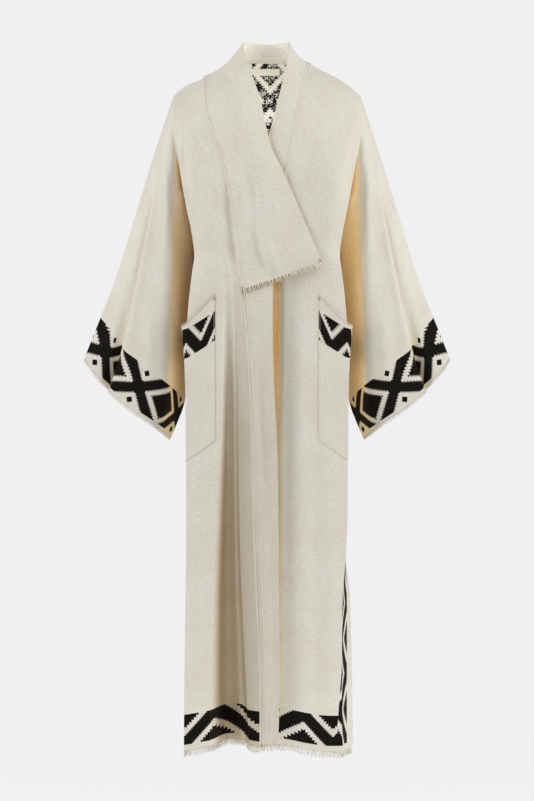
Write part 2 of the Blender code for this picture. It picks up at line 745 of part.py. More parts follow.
def fringe(name, edge, down, inward, length, pitch, closed=False):
    """Make a fringe: a narrow strip just beyond the cloth's edge, with tapered strands on it."""
    points, downs, inwards = strand_places(edge, down, inward, pitch, closed)
    count = len(points)
    top = points + downs * FRINGE_GAP
    root = top + downs * FRINGE_STRIP
    vertices = np.concatenate([top, root, top + inwards * FRINGE_THICKNESS,
                               root + inwards * FRINGE_THICKNESS]).tolist()
    faces = []
    for i in range(count if closed else count - 1):
        j = (i + 1) % count
        faces.append((i, j, count + j, count + i))
        faces.append((2 * count + i, 3 * count + i, 3 * count + j, 2 * count + j))
        faces.append((i, 2 * count + i, 2 * count + j, j))
        middle = (root[i] + root[j]) / 2.0 + (downs[i] + downs[j]) / 2.0 * length
        half = (root[j] - root[i]) * STRAND_TIP / 2.0
        thick = (inwards[i] + inwards[j]) / 2.0 * FRINGE_THICKNESS
        near, far = middle + thick * 0.25, middle + thick * 0.75
        tip = len(vertices)
        vertices += [near - half, near + half, far - half, far + half]
        a, b, c, d = count + i, count + j, 3 * count + i, 3 * count + j
        faces.append((a, b, tip + 1, tip))
        faces.append((c, tip + 2, tip + 3, d))
        faces.append((a, tip, tip + 2, c))
        faces.append((b, d, tip + 3, tip + 1))
        faces.append((tip, tip + 1, tip + 3, tip + 2))
    if not closed:
        last = count - 1
        faces.append((0, count, 3 * count, 2 * count))
        faces.append((last, 2 * count + last, 3 * count + last, count + last))
    return link_mesh(name, vertices, faces, YARN)


def point_on_column(grid, ways, column, height):
    """Find the point of a grid's column at a height, and the direction there."""
    heights = grid[:, column, 2]
    r = int(np.searchsorted(-heights, -height)) - 1
    share = (heights[r] - height) / (heights[r] - heights[r + 1])
    way = unit(blend(ways[r, column], ways[r + 1, column], share))
    return blend(grid[r, column], grid[r + 1, column], share), way


def pocket_grid(front, out):
    """Lay a pocket on a front: its points are the front's own, moved out, with a gaping top."""
    inner = front.shape[1] - 1 - len(SIDE_SHARES) - len(OUTER_SHARES)
    columns = range(inner, front.shape[1] - 1)
    level = int(np.argmin(np.abs(front[:, -1, 2] - POCKET_BOTTOM)))
    reach = running_length(front[level, columns])
    fold_reach = reach[len(OUTER_SHARES)]
    rows = []
    for r in range(POCKET_ROWS + 1):
        down = r / POCKET_ROWS
        row = []
        for column, far in zip(columns, reach):
            fall = min(far, fold_reach) + max(far - fold_reach, 0.0) * POCKET_SIDE_SHARE
            height = blend(POCKET_TOP - fall * POCKET_TOP_SLOPE, POCKET_BOTTOM - fall * POCKET_BOTTOM_SLOPE,
                           down ** POCKET_ROW_POWER)
            point, way = point_on_column(front, out, column, height)
            gape = POCKET_GAPE * (1.0 - down) ** POCKET_GAPE_POWER * np.sin(np.pi * far / reach[-1])
            row.append(point + way * (LAYER_GAP + CLOTH + gape))
        rows.append(row)
    return np.array(rows)


def label_grid():
    """Lay the bare label on the inside of the back, below the neck seam."""
    rows = []
    for height in (LABEL_TOP, LABEL_BOTTOM):
        row = []
        for across in (-LABEL_WIDTH / 2.0, 0.0, LABEL_WIDTH / 2.0):
            step = -1 if across < 0.0 else 1
            first, way = point_on_column(back, inward["back"], middle_column, height)
            second, other = point_on_column(back, inward["back"], middle_column + step, height)
            share = (across - first[0]) / (second[0] - first[0])
            way = unit(blend(way, other, share))
            row.append(blend(first, second, share) + way * (CLOTH + SEAM_GAP + LABEL_THICKNESS))
        rows.append(row)
    return np.array(rows)


def share_ways(first, second):
    """Give two edges that meet at a seam one direction, where their cloths roughly continue."""
    for i in range(len(first)):
        if np.dot(first[i], second[i]) > 0.0:
            both = unit(first[i] + second[i])
            first[i] = both
            second[i] = both


def make_material(name, colour, roughness):
    material = bpy.data.materials.new(name)
    material.use_nodes = True
    shader = material.node_tree.nodes["Principled BSDF"]
    shader.inputs["Base Color"].default_value = (*colour, 1.0)
    shader.inputs["Roughness"].default_value = roughness
    return material


for thing in list(bpy.data.objects):
    bpy.data.objects.remove(thing)

kaftan = bpy.data.objects.new("kaftan", None)
bpy.context.scene.collection.objects.link(kaftan)

CREAM = make_material("cream_cotton", (0.79, 0.76, 0.68), 0.85)
LABEL = make_material("label_cotton", (0.84, 0.8, 0.68), 0.8)
YARN = make_material("fringe_yarn", (0.77, 0.73, 0.63), 0.9)

NAMES = {RIGHT: "right", LEFT: "left"}
half_gap = SEAM_GAP / 2.0
middle_column = len(BACK_HALF)

# The grids of the panels and sleeves, and the way into the cloth at every point
fronts = {RIGHT: right_front_grid(), LEFT: left_front_grid()}
raise_hem(fronts[RIGHT], HEM_RISE_RIGHT)
raise_hem(fronts[LEFT], HEM_RISE_LEFT)
back = back_grid()
inward = {"back": inward_ways(back)}
sleeves, collars = {}, {}
for side in NAMES:
    round_shoulder(fronts[side], side)
    sleeves[side] = sleeve_grid(side)
    inward["front", side] = inward_ways(fronts[side])
    inward["sleeve", side] = inward_ways(sleeves[side], closed=True)

# The collar halves take their seam points from the back's neckline and the front's edge
collar_ends = {RIGHT: COLLAR_END_ROW, LEFT: ARMHOLE_FRONT_ROWS}
necks = {side: [middle_column + int(side) * i for i in range(NECK_COLUMNS + 1)] for side in NAMES}
for side, table in ((RIGHT, COLLAR_RIGHT), (LEFT, COLLAR_LEFT)):
    seam = np.concatenate([back[0, necks[side]], fronts[side][1:collar_ends[side] + 1, 0]])
    collars[side] = collar_grid(seam, table)
    inward["collar", side] = inward_ways(collars[side])

# The seams: neighbours share their directions, then each edge draws back by half the gap
for side in NAMES:
    front, sleeve, collar = fronts[side], sleeves[side], collars[side]
    into_front, into_sleeve, into_collar = (inward[name, side] for name in ("front", "sleeve", "collar"))
    into_back = inward["back"]
    neck, end = necks[side], collar_ends[side]
    edge, beside = (-1, -2) if side == LEFT else (0, 1)
    front_arm = slice(0, ARMHOLE_FRONT_ROWS + 1)
    back_arm = slice(0, ARMHOLE_BACK_ROWS + 1)
    rear = [0] + [len(sleeve[0]) - r for r in range(1, ARMHOLE_BACK_ROWS)] + [ARMHOLE_FRONT_ROWS]
    shoulder = [middle_column + int(side) * i for i in range(NECK_COLUMNS, middle_column + 1)]

    share_ways(into_front[front_arm, -1], into_sleeve[0, front_arm])
    rear_ways = into_sleeve[0, rear]
    share_ways(into_back[back_arm, edge], rear_ways)
    into_sleeve[0, rear[1:-1]] = rear_ways[1:-1]
    neck_ways = into_back[0, neck]
    share_ways(neck_ways[:-1], into_collar[:len(neck) - 1, 0])
    into_back[0, neck] = neck_ways
    share_ways(into_front[1:end + 1, 0], into_collar[len(neck):, 0])
    slope = shoulder_point(side) - front[0, 0]
    below_shoulder = unit(np.array([slope[2] * side, 0.0, -abs(slope[0])]))
    into_front[0] = below_shoulder
    into_back[0, shoulder] = below_shoulder
    into_sleeve[0, 0] = below_shoulder
    into_collar[NECK_COLUMNS, 0] = below_shoulder
    into_collar[0] = flattened(into_collar[0], 0)

    front[:, 0] = drawn_back(front[:, 0], front[:, 1], half_gap)
    front[front_arm, -1] = drawn_back(front[front_arm, -1], front[front_arm, -2], half_gap)
    back[back_arm, edge] = drawn_back(back[back_arm, edge], back[back_arm, beside], half_gap)
    back[0, neck[1:]] = drawn_back(back[0, neck[1:]], back[1, neck[1:]], half_gap)
    sleeve[0] = drawn_back(sleeve[0], sleeve[1], half_gap)
    collar[:, 0] = drawn_back(collar[:, 0], collar[:, 1], half_gap)
    collar[0, :, 0] = side * half_gap
    front[0, :, 1] = -half_gap
    back[0, shoulder, 1] = half_gap
    for grid, ways, column, first, depth in (
        (front, into_front, -1, ARMHOLE_FRONT_ROWS, SIDE_SEAM_DEPTH - half_gap),
        (back, into_back, edge, ARMHOLE_BACK_ROWS, SIDE_SEAM_DEPTH + half_gap),
    ):
        for r in range(first, len(grid)):
            if grid[r, column, 2] >= SLIT_TOP:
                grid[r, column, 1] = depth
                ways[r, column] = flattened(ways[r, column], 1)
back[0, middle_column] = drawn_back(back[0, middle_column], back[1, middle_column], half_gap)

# The frayed edges stand square to the cloth
HANG = np.array([0.0, 0.0, -1.0])
for ways in (inward["back"], inward["front", RIGHT], inward["front", LEFT]):
    ways[-1] = squared(ways[-1], HANG)

fringe("hem_fringe_back", back[-1], np.tile(HANG, (len(back[-1]), 1)), inward["back"][-1],
       HEM_FRINGE, HEM_PITCH)
for side, name in NAMES.items():
    front, sleeve = fronts[side], sleeves[side]
    into_front, into_sleeve = inward["front", side], inward["sleeve", side]
    fringe("hem_fringe_front_" + name, front[-1], np.tile(HANG, (len(front[-1]), 1)), into_front[-1],
           HEM_FRINGE, HEM_PITCH)
    down = unit(sleeve[-1] - sleeve[-2])
    into_sleeve[-1] = squared(into_sleeve[-1], down)
    fringe("cuff_fringe_" + name, sleeve[-1], down, into_sleeve[-1], CUFF_FRINGE, CUFF_PITCH, closed=True)
    edge, beside = (-1, -2) if side == LEFT else (0, 1)
    for place, grid, ways, column, neighbour in (
        ("front", front, into_front, -1, -2),
        ("back", back, inward["back"], edge, beside),
    ):
        open_rows = [r for r in range(len(grid)) if grid[r, column, 2] < SLIT_TOP]
        low_rows = [r for r in open_rows if grid[r, column, 2] <= SLIT_FRINGE_TOP]
        away = unit(grid[:, column] - grid[:, neighbour])
        ways[open_rows, column] = squared(ways[open_rows, column], away[open_rows])
        fringe(f"slit_fringe_{place}_{name}", grid[low_rows, column], away[low_rows],
               ways[low_rows, column], SLIT_FRINGE, SLIT_PITCH)

collar, into_collar = collars[RIGHT], inward["collar", RIGHT]
down = unit(collar[-1] - collar[-2])
into_collar[-1] = squared(into_collar[-1], down)
fringe("collar_fringe", collar[-1], down, into_collar[-1], COLLAR_FRINGE, COLLAR_PITCH)

# The walls of cloth
cloth_wall("back", back, inward["back"], CREAM)
for side, name in NAMES.items():
    cloth_wall("front_" + name, fronts[side], inward["front", side], CREAM)
    cloth_wall("sleeve_" + name, sleeves[side], inward["sleeve", side], CREAM, closed=True)
    cloth_wall("collar_" + name, collars[side], inward["collar", side], CREAM)
    pocket = pocket_grid(fronts[side], -inward["front", side])
    into_pocket = inward_ways(pocket)
    up = unit(pocket[0] - pocket[1])
    into_pocket[0] = squared(into_pocket[0], up)
    cloth_wall("pocket_" + name, pocket, into_pocket, CREAM)
    fringe("pocket_fringe_" + name, pocket[0], up, into_pocket[0], POCKET_FRINGE, POCKET_PITCH)

label = label_grid()
cloth_wall("neck_label", label, -inward_ways(label), LABEL, thickness=LABEL_THICKNESS)

# The band below the collar's end stops above the right front's hem
edge = fronts[RIGHT][COLLAR_END_ROW:, 0].copy()
edge[:, 0] += SEAM_GAP
share = (edge[-2, 2] - FRONT_BAND_END) / (edge[-2, 2] - edge[-1, 2])
edge[-1] = blend(edge[-2], edge[-1], share)
front_band = front_band_grid(edge)
cloth_wall("front_band", front_band, inward_ways(front_band), CREAM)
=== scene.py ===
# %% [markdown]
# # An open-front kaftan of heavy cotton
#
# A kaftan is sewn from a few large flat pieces: a back, two fronts, two wide sleeves, a broad
# collar band and two patch pockets. Here it keeps the hollow form that it has when it is worn. The
# construction is loaded as a fixed frame of plain solids, and this lesson makes the cloth that
# shows on top of it: fine sheets with creases, woven borders, seams and loose threads at the edges.

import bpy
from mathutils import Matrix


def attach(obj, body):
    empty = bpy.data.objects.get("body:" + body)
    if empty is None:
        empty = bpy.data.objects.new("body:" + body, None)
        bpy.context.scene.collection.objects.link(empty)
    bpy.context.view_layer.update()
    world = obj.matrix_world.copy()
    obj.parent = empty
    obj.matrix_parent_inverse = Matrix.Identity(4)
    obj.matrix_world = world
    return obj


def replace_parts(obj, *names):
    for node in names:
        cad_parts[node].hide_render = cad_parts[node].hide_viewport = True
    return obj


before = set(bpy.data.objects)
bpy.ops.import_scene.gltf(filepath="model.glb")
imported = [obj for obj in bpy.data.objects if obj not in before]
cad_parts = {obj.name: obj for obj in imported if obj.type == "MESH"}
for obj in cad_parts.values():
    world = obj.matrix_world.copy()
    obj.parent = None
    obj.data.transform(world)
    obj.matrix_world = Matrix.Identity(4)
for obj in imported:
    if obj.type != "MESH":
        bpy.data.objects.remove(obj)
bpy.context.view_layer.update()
print("solids in the frame:", len(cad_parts))

# %% [markdown]
# The camera comes before the cloth, because every comparison needs the same standpoint. The real
# photograph was taken from far away with a long lens, level with the garment's middle. A vertical fit
# keeps the framing in terms of height, and the lens then follows from the distance and from how
# many millimetres one pixel shows at the shoulder line.

# %% Camera
from collections import namedtuple

import bpy
import mathutils
import numpy as np

METRE_PER_MM = 0.001
PHOTO_ROWS = 801
MM_PER_PIXEL = 2.03
CAMERA_DISTANCE = 4800.0
CAMERA_HEIGHT = -659.0
SENSOR_HEIGHT = 24.0

camera_data = bpy.data.cameras.new("camera")
camera_data.sensor_fit = "VERTICAL"
camera_data.sensor_height = SENSOR_HEIGHT
camera_data.lens = SENSOR_HEIGHT * CAMERA_DISTANCE / (PHOTO_ROWS * MM_PER_PIXEL)
camera = bpy.data.objects.new("camera", camera_data)
camera.location = (0.0, -CAMERA_DISTANCE * METRE_PER_MM, CAMERA_HEIGHT * METRE_PER_MM)
camera.rotation_euler = (np.pi / 2.0, 0.0, 0.0)
bpy.context.scene.collection.objects.link(camera)
bpy.context.scene.camera = camera
print(f"lens {camera_data.lens:.1f} mm")

# %% [markdown]
# The cutter's tables come next. They repeat the construction's own sections, in millimetres:
# across runs to the wearer's left, depth runs to the back and height runs up. Each table row is one
# section of the garment. Most of these numbers carry the solids too, so the fine cloth lies where they
# are. Only the collar's free edges, the deep fold, the trough beside the lap, the foot of the left
# side and the hem's line are set closer to the real cloth here.
# The first rows hold the shoulder line and the armholes, from the shoulder down to the underarm.

# %% Shoulders and armholes
RIGHT = -1.0
LEFT = 1.0
SIDE_SEAM_DEPTH = 20.0
UNDERARM_HEIGHT = -365.0
SLIT_TOP = -896.0
HEM = -1354.0
Point = namedtuple("Point", "across depth height")


def named_rows(kind, rows):
    """Give the columns of a table their names."""
    return [kind(*map(float, row)) for row in rows]


# The shoulder line, a little round between the collar and the shoulder point
SHOULDER = Point(190.0, 0.0, -42.0)
SHOULDER_ROUND = 7.0
SHOULDER_SKEW = 1.5

# The armhole, from the shoulder point down to the underarm, on the front and on the back
ARMHOLE_FRONT = named_rows(Point, [
    (190, 0, -42),
    (191.5, -36, -70),
    (189, -60, -112),
    (184, -70, -160),
    (173, -60, -215),
    (160, -38, -272),
    (150, -8, -332),
    (146, 20, -365),
])
ARMHOLE_BACK = named_rows(Point, [
    (190, 0, -42),
    (191.5, 36, -72),
    (189, 62, -115),
    (182, 82, -175),
    (168, 82, -245),
    (153, 56, -325),
    (146, 20, -365),
])
print("armhole sections:", len(ARMHOLE_FRONT), "in front,", len(ARMHOLE_BACK), "behind")

# %% Sides of the body
# The body's side, as a fold line at the front and the edge behind it
Side = namedtuple("Side", "height fold_across fold_depth edge_across edge_depth")
SIDE_RIGHT = named_rows(Side, [
    (-365, 144, -94, 146, 20),
    (-457, 155, -100, 136, 20),
    (-550, 161, -102, 136, 20),
    (-740, 160.5, -104, 140, 20),
    (-896, 160.5, -105, 145, 20),
    (-1060, 162, -106, 149, 4),
    (-1250, 164.5, -106, 152, -14),
    (-1354, 165, -106, 154, -24),
])
SIDE_LEFT = named_rows(Side, [
    (-365, 144, -94, 146, 20),
    (-457, 155, -100, 136, 20),
    (-550, 161, -102, 136, 20),
    (-740, 160.5, -104, 140, 20),
    (-896, 160, -105, 148, 20),
    (-1060, 149, -106, 167.5, -10),
    (-1250, 148, -106, 170.5, -34),
    (-1354, 150, -106, 171, -42),
])

# Above the underarm the fold line stands in front of the armhole seam
FoldAbove = namedtuple("FoldAbove", "height across depth")
FOLD_ABOVE = named_rows(FoldAbove, [
    (-42, 187, -5),
    (-70, 188, -43),
    (-112, 184, -70),
    (-160, 178, -84),
    (-215, 171, -92),
    (-272, 161, -95),
    (-332, 148, -94),
    (-365, 144, -94),
])
print("side sections:", len(SIDE_RIGHT), "and", len(SIDE_LEFT))

# %% Collar bands
# The collar band, from the middle of the back neck to its front end: seam side and free side.
# Its fourth row lies on the shoulder line.
Band = namedtuple(
    "Band", "seam_across seam_depth seam_height free_across free_depth free_height crown")
SHOULDER_STATION = 3
COLLAR_RIGHT = named_rows(Band, [
    (0, 62, 35, 0, 60, 72, 0),
    (-50, 56, 31, -28, 49, 72, 0),
    (-100, 32, 12, -46, 20, 71, -6),
    (-130, 0, -6, -49, -8, 66, -9),
    (-128, -45, -45, -41, -40, 28, -4),
    (-121.8, -75, -85, -28, -68, -12, 3),
    (-100.4, -100, -153, -8, -92, -78, 7),
    (-86, -112, -202, 2, -103, -136, 8),
    (-73, -118, -276, 37.6, -117, -217, 8),
    (-63, -120, -333, 73, -118, -300, 6),
    (-57, -120, -393, 95, -119, -352, 4),
    (-49.5, -120, -440, 108.7, -116, -385, 2),
])
COLLAR_LEFT = named_rows(Band, [
    (0, 62, 35, 0, 60, 72, 0),
    (50, 56, 33, 28, 49, 72, 0),
    (80, 32, 29, 44, 20, 71, 4),
    (91, 0, 22, 46, -8, 66, 7),
    (78.4, -45, -18.5, 42, -40, 28, 2),
    (65.8, -80, -67, 33, -66, -12, -2),
    (51.6, -104, -142, 17.5, -87, -78, -3),
    (37.6, -110, -216, -2, -97, -150, -2),
    (20, -108, -290, -28, -100, -240, -1),
    (2, -106, -370, -46, -102, -330, 0),
])

# Shares of the way across a collar band
BAND_SHARES = [0.0, 0.14, 0.32, 0.5, 0.68, 0.86, 1.0]
print("collar sections:", len(COLLAR_RIGHT), "and", len(COLLAR_LEFT))

# %% Front band and the folds beside it
# The band down the right front below the collar's end
FrontBand = namedtuple("FrontBand", "height seam_across free_across depth")
FRONT_BAND = named_rows(FrontBand, [
    (-443, -49, 10.9, -120),
    (-518, -43.5, 10.9, -120),
    (-605, -37.6, 12, -120),
    (-692, -33.6, 18, -119.5),
    (-806, -31.7, 21.8, -119),
    (-1000, -24.5, 23.6, -118.5),
    (-1252, -14.8, 24.7, -118),
    (-1354, -14.8, 21, -118),
])
FRONT_BAND_SHARES = [0.0, 0.35, 0.7, 1.0]
FRONT_BAND_END = -1340.0
FRONT_BAND_TUCK = 6.0
FRONT_BAND_RECESS = 2.8
FRONT_BAND_TOP_SLOPE = 0.348
FRONT_BAND_LIFT = 1.0

# The deep fold of the right front: the edge that stands over it, its floor and its outer brow
DeepFold = namedtuple("DeepFold", "height edge_across brow_across depth")
DEEP_FOLD = named_rows(DeepFold, [
    (-42, -146, -160, 0),
    (-205, -108, -135, 0.5),
    (-330, -78, -104, 2),
    (-440, -62, -90, 5),
    (-605, -58, -90, 18),
    (-816, -56, -97, 34),
    (-994, -52, -105, 50),
    (-1133, -46, -110, 62),
    (-1354, -35.5, -114, 76),
])
FOLD_WALL = 1.5
FOLD_LEAST_WIDTH = 8.0
FOLD_STRIP_SHARE = 0.55
FOLD_EDGE_SINKS = [0.0, 0.1, 0.2, 0.44]
FOLD_SHARES = [0.14, 0.34, 0.56, 0.74, 0.88, 1.0]
FOLD_SINKS = [0.56, 0.84, 0.96, 0.64, 0.24, 0.0]

# The shallow trough of the left front, beside the lap
Trough = namedtuple("Trough", "height across half_width depth")
TROUGH_LEFT = named_rows(Trough, [
    (-42, 150, 30, 0),
    (-330, 60, 30, 2),
    (-605, 38, 30, 4),
    (-994, 40, 28, 7),
    (-1354, 44, 30, 8),
])

# Depth of the left front beside the middle, where the lap lies over it
LapUnder = namedtuple("LapUnder", "height across depth")
LAP_UNDER = named_rows(LapUnder, [
    (-370, 2, -106),
    (-440, -16, -96),
    (-605, -22, -96),
    (-900, -22, -100),
    (-1354, -22, -106),
])
print("front band sections:", len(FRONT_BAND))

# %% Places across and down the fronts
# Shares of the way across the front panels: to the pocket's inner edge, on to the side fold, and
# round the side to the edge
LEFT_INNER_SHARES = [0.0, 0.13, 0.27, 0.41, 0.56, 0.7, 0.85, 1.0]
OUTER_SHARES = [0.35, 0.7, 0.9, 1.0]
SIDE_SHARES = [0.12, 0.4, 0.7, 1.0]
EDGE_CURL = 2.2
LINE_SHARE = 0.3
CHEST_FULLNESS = 10.0
CHEST_ROWS = 6.0
FRONT_ROUND = 3
SIDE_TURN = 5
SIDE_FULLNESS = 0.022
ROW_SLANT = 1.5
FOLD_RISE = 1.0

# Rows of the grids below the underarm
LOWER_HEIGHTS = [-402.0, -440.0, -500.0, -570.0, -650.0, -735.0, -815.0, -896.0, -960.0, -1040.0,
                 -1130.0, -1220.0, -1300.0, HEM]
ARMHOLE_FRONT_ROWS = 12
ARMHOLE_BACK_ROWS = 8
LEVEL_ROW = 8
COLLAR_END_ROW = ARMHOLE_FRONT_ROWS + 2

# How far the shoulder's and the hem's own lines reach into the rows beside them
SHOULDER_FADE = [1.0, 0.7, 0.4, 0.15]
HEM_FADE = [1.0, 0.55, 0.2]

# The hem's own rise over its lowest line, by place across
HemRise = namedtuple("HemRise", "across rise")
HEM_RISE_RIGHT = named_rows(HemRise, [
    (-165, 0),
    (-145, 4),
    (-110, 11),
    (-80, 15),
    (-44, 18),
    (-34, 10),
    (-10, 8),
])
HEM_RISE_LEFT = named_rows(HemRise, [
    (-30, 10),
    (25, 13),
    (65, 7),
    (110, 0),
    (170, -2),
])
print("rows below the underarm:", len(LOWER_HEIGHTS))

# %% Back
# The middle of the back, and the body's back corners
BackLine = namedtuple("BackLine", "height depth corner_across corner_depth")
BACK = named_rows(BackLine, [
    (35, 62, 120, 20),
    (-20, 84, 150, 50),
    (-80, 99, 158, 84),
    (-170, 110, 158, 101),
    (-270, 113, 146, 104),
    (-365, 113, 134, 98),
    (-560, 113, 130, 96),
    (-896, 116, 140, 98),
    (-1354, 124, 150, 104),
])
BACK_EDGE = named_rows(Point, [
    (136, 20, -896),
    (143, 30, -1060),
    (149, 44, -1250),
    (151, 50, -1354),
])

# Shares of the way from the middle of the back to its edge
BACK_HALF = [0.11, 0.22, 0.33, 0.44, 0.55, 0.7, 0.84, 0.93, 1.0]
BACK_SHARES = [-share for share in BACK_HALF[::-1]] + [0.0] + BACK_HALF
NECK_COLUMNS = 5
BACK_CORNER_COLUMN = 7
BACK_CORNER_FALL = 0.8
BACK_ROW_POWER = 1.15
BACK_ROUND = 3
BACK_LIFT_ROWS = 7.0
BACK_LIFT_EASE = 1.5
middle_column = len(BACK_HALF)
print("columns across the back:", len(BACK_SHARES))

# %% Sleeves
# The sleeve: its top fold, front ridge, inner fold and back, with the bulge and the narrow pleat
SleeveRow = namedtuple(
    "SleeveRow",
    "along fold_across fold_depth fold_height ridge_across ridge_depth ridge_height "
    "inner_across inner_depth inner_height back_across back_depth back_height bulge sag pleat",
)
SLEEVE = named_rows(SleeveRow, [
    (0, 190, 0, -42, 176, -66, -205, 146, 20, -365, 182, 82, -175, 16, 0, 0),
    (0.22, 229, -5, -160, 193, -77, -268, 150, 29, -430, 190, 78, -285, 18, 2, 0),
    (0.45, 266, -12, -282, 194, -80, -395, 153, 34, -510, 204, 70, -405, 20, 4, 3),
    (0.68, 306, -18, -412, 194, -80, -520, 158, 35, -590, 224, 62, -525, 22, 8, 8),
    (0.86, 343, -22, -508, 199, -76, -632, 170, 26, -668, 246, 56, -615, 22, 14, 18),
    (1, 368, -24, -571, 218, -67, -712, 195, 10, -733, 274, 45, -668, 22, 18, 30),
])
SLEEVE_ALONG = [0.0, 0.07, 0.17, 0.28, 0.39, 0.5, 0.61, 0.71, 0.8, 0.87, 0.94, 1.0]
SLEEVE_EASE = 0.45
SLEEVE_BULGE_SKEW = 0.8
PLEAT_SHIFT = 2.0
SLEEVE_BACK_FULLNESS = 9.0

# Columns of a sleeve's front from the top fold to the ridge, with their share of the pleat
SleeveColumn = namedtuple("SleeveColumn", "way pleat")
SLEEVE_FRONT = named_rows(SleeveColumn, [
    (0, 0),
    (0.12, 0),
    (0.24, 0.25),
    (0.33, 1),
    (0.345, 0),
    (0.5, 0),
    (0.66, 0),
    (0.82, 0),
])
SLEEVE_INNER_COLUMNS = 4
SLEEVE_BACK_WAYS = [0.25, 0.5, 0.75, 1.0]
print("sleeve rings:", len(SLEEVE_ALONG))

# %% Pockets, label and fringes
# The pockets: their slanted top and bottom fall away from the inner edge, and less round the side
POCKET_INNER_ACROSS = 103.0
POCKET_TOP = -452.0
POCKET_BOTTOM = -738.0
POCKET_TOP_SLOPE = 1.05
POCKET_BOTTOM_SLOPE = 0.7
POCKET_SIDE_SHARE = 0.4
POCKET_GAPE = 10.0
POCKET_GAPE_POWER = 4

# The bare neck label inside the back neck
LABEL_WIDTH = 52.0
LABEL_TOP = 24.0
LABEL_BOTTOM = 11.0
LABEL_THICKNESS = 1.0

# How far the frayed edges hang out
HEM_FRINGE = 13.0
CUFF_FRINGE = 7.0
COLLAR_FRINGE = 9.0
POCKET_FRINGE = 6.0
SLIT_FRINGE = 5.0
print(f"pocket {POCKET_TOP - POCKET_BOTTOM:.0f} mm deep, label {LABEL_WIDTH:.0f} mm wide")

# %% [markdown]
# Cloth bends in smooth curves, so a table is never read in straight steps. A cubic curve through
# the rows would do, but it can swing past them and wrinkle the cloth. The reader below slows the
# curve down at every row where the values turn back, which keeps it between its rows.

# %% Smooth curves
def cubic(t, start, end, length, leave, arrive):
    """Go from one value to the next on a cubic curve, with a slope given at each end."""
    bend = length * t * (1.0 - t) * ((1.0 - t) * leave - t * arrive)
    return (1.0 + 2.0 * t) * (1.0 - t) ** 2 * start + t * t * (3.0 - 2.0 * t) * end + bend


def smooth_value(keys, values, at):
    """Read a value between table rows, on a smooth curve that never overshoots its rows."""
    keys = np.asarray(keys, float)
    values = np.asarray(values, float)
    if keys[0] > keys[-1]:
        keys = keys[::-1]
        values = values[::-1]
    at = float(np.clip(at, keys[0], keys[-1]))
    steps = np.diff(keys)
    slopes = np.diff(values) / steps
    tangents = np.zeros(len(keys))
    tangents[0] = slopes[0]
    tangents[-1] = slopes[-1]
    for i in range(1, len(keys) - 1):
        if slopes[i - 1] * slopes[i] > 0.0:
            tangents[i] = 2.0 * slopes[i - 1] * slopes[i] / (slopes[i - 1] + slopes[i])
    i = min(int(np.searchsorted(keys, at, side="right")) - 1, len(steps) - 1)
    t = (at - keys[i]) / steps[i]
    return cubic(t, values[i], values[i + 1], steps[i], tangents[i], tangents[i + 1])


def table_value(table, column, height):
    """Read one column of a table whose rows are named by their height."""
    return smooth_value([row.height for row in table], [getattr(row, column) for row in table], height)


def table_point(table, across, depth, height, side=LEFT):
    """Read a point from two columns of a table, on the wearer's left or right."""
    return np.array([table_value(table, across, height) * side, table_value(table, depth, height), height])


def running_length(line):
    return np.concatenate([[0.0], np.cumsum(np.linalg.norm(np.diff(line, axis=0), axis=1))])


def smooth_line(points, count):
    """Spread count + 1 points along a smooth curve through the given points."""
    points = np.asarray(points, float)
    lengths = running_length(points)
    places = np.linspace(0.0, lengths[-1], count + 1)
    return np.array([[smooth_value(lengths, points[:, axis], at) for axis in range(3)] for at in places])


def blend(start, end, share):
    return np.asarray(start, float) * (1.0 - share) + np.asarray(end, float) * share


def smooth_step(share):
    """Rise softly from 0 to 1."""
    share = np.clip(share, 0.0, 1.0)
    return share * share * (3.0 - 2.0 * share)


def unit(vectors):
    return vectors / np.linalg.norm(vectors, axis=-1, keepdims=True)


print(f"half way down the deep fold: {table_value(DEEP_FOLD, 'depth', HEM / 2.0):.1f} mm")

# %% [markdown]
# A front is cut as one long panel. Worn, it runs from the collar seam over the chest, folds round
# the body's side and ends at the armhole and the side seam. Each row of the grid goes from the
# middle seam to the side fold and on to the edge. Sections are used here and not a simulation,
# because the seams of neighbouring pieces have to meet point by point.

# %% Middle seam, side fold and edge of a front
def armhole_line(table, side, count):
    """Spread points down one half of an armhole."""
    return smooth_line([(row.across * side, row.depth, row.height) for row in table], count)


def shoulder_point(side):
    return np.array([SHOULDER.across * side, SHOULDER.depth, SHOULDER.height])


def shoulder_rise(share):
    """Find how far the shoulder stands above a straight line, most near the arm."""
    return SHOULDER_ROUND * np.sin(np.pi * share ** SHOULDER_SKEW)


def collar_seam(collar):
    return np.array([(row.seam_across, row.seam_depth, row.seam_height) for row in collar])


def seam_point(seam, side, height):
    """Find the point of a front's middle edge at a height: on the collar seam, then below it."""
    if height >= seam[-1][2]:
        return np.array([*(smooth_value(seam[:, 2], seam[:, axis], height) for axis in (0, 1)), height])
    if side == RIGHT:
        return table_point(FRONT_BAND, "seam_across", "depth", height)
    return table_point(LAP_UNDER, "across", "depth", height)


def front_rows(side, collar):
    """List each row of a front: its point on the middle seam, on the side fold and on its edge."""
    side_table = SIDE_RIGHT if side == RIGHT else SIDE_LEFT
    seam = collar_seam(collar)[SHOULDER_STATION:]
    rows = []
    for r, edge in enumerate(armhole_line(ARMHOLE_FRONT, side, ARMHOLE_FRONT_ROWS)):
        share = min(r / LEVEL_ROW, 1.0)
        height = edge[2] + (seam[0, 2] - edge[2]) * (1.0 - share) ** ROW_SLANT
        fold = table_point(FOLD_ABOVE, "across", "depth", edge[2], side)
        fold[2] += FOLD_RISE
        rows.append([seam_point(seam, side, height), fold, edge])
    for height in LOWER_HEIGHTS:
        fold = table_point(side_table, "fold_across", "fold_depth", height, side)
        edge = table_point(side_table, "edge_across", "edge_depth", height, side)
        rows.append([seam_point(seam, side, height), fold, edge])
    return rows


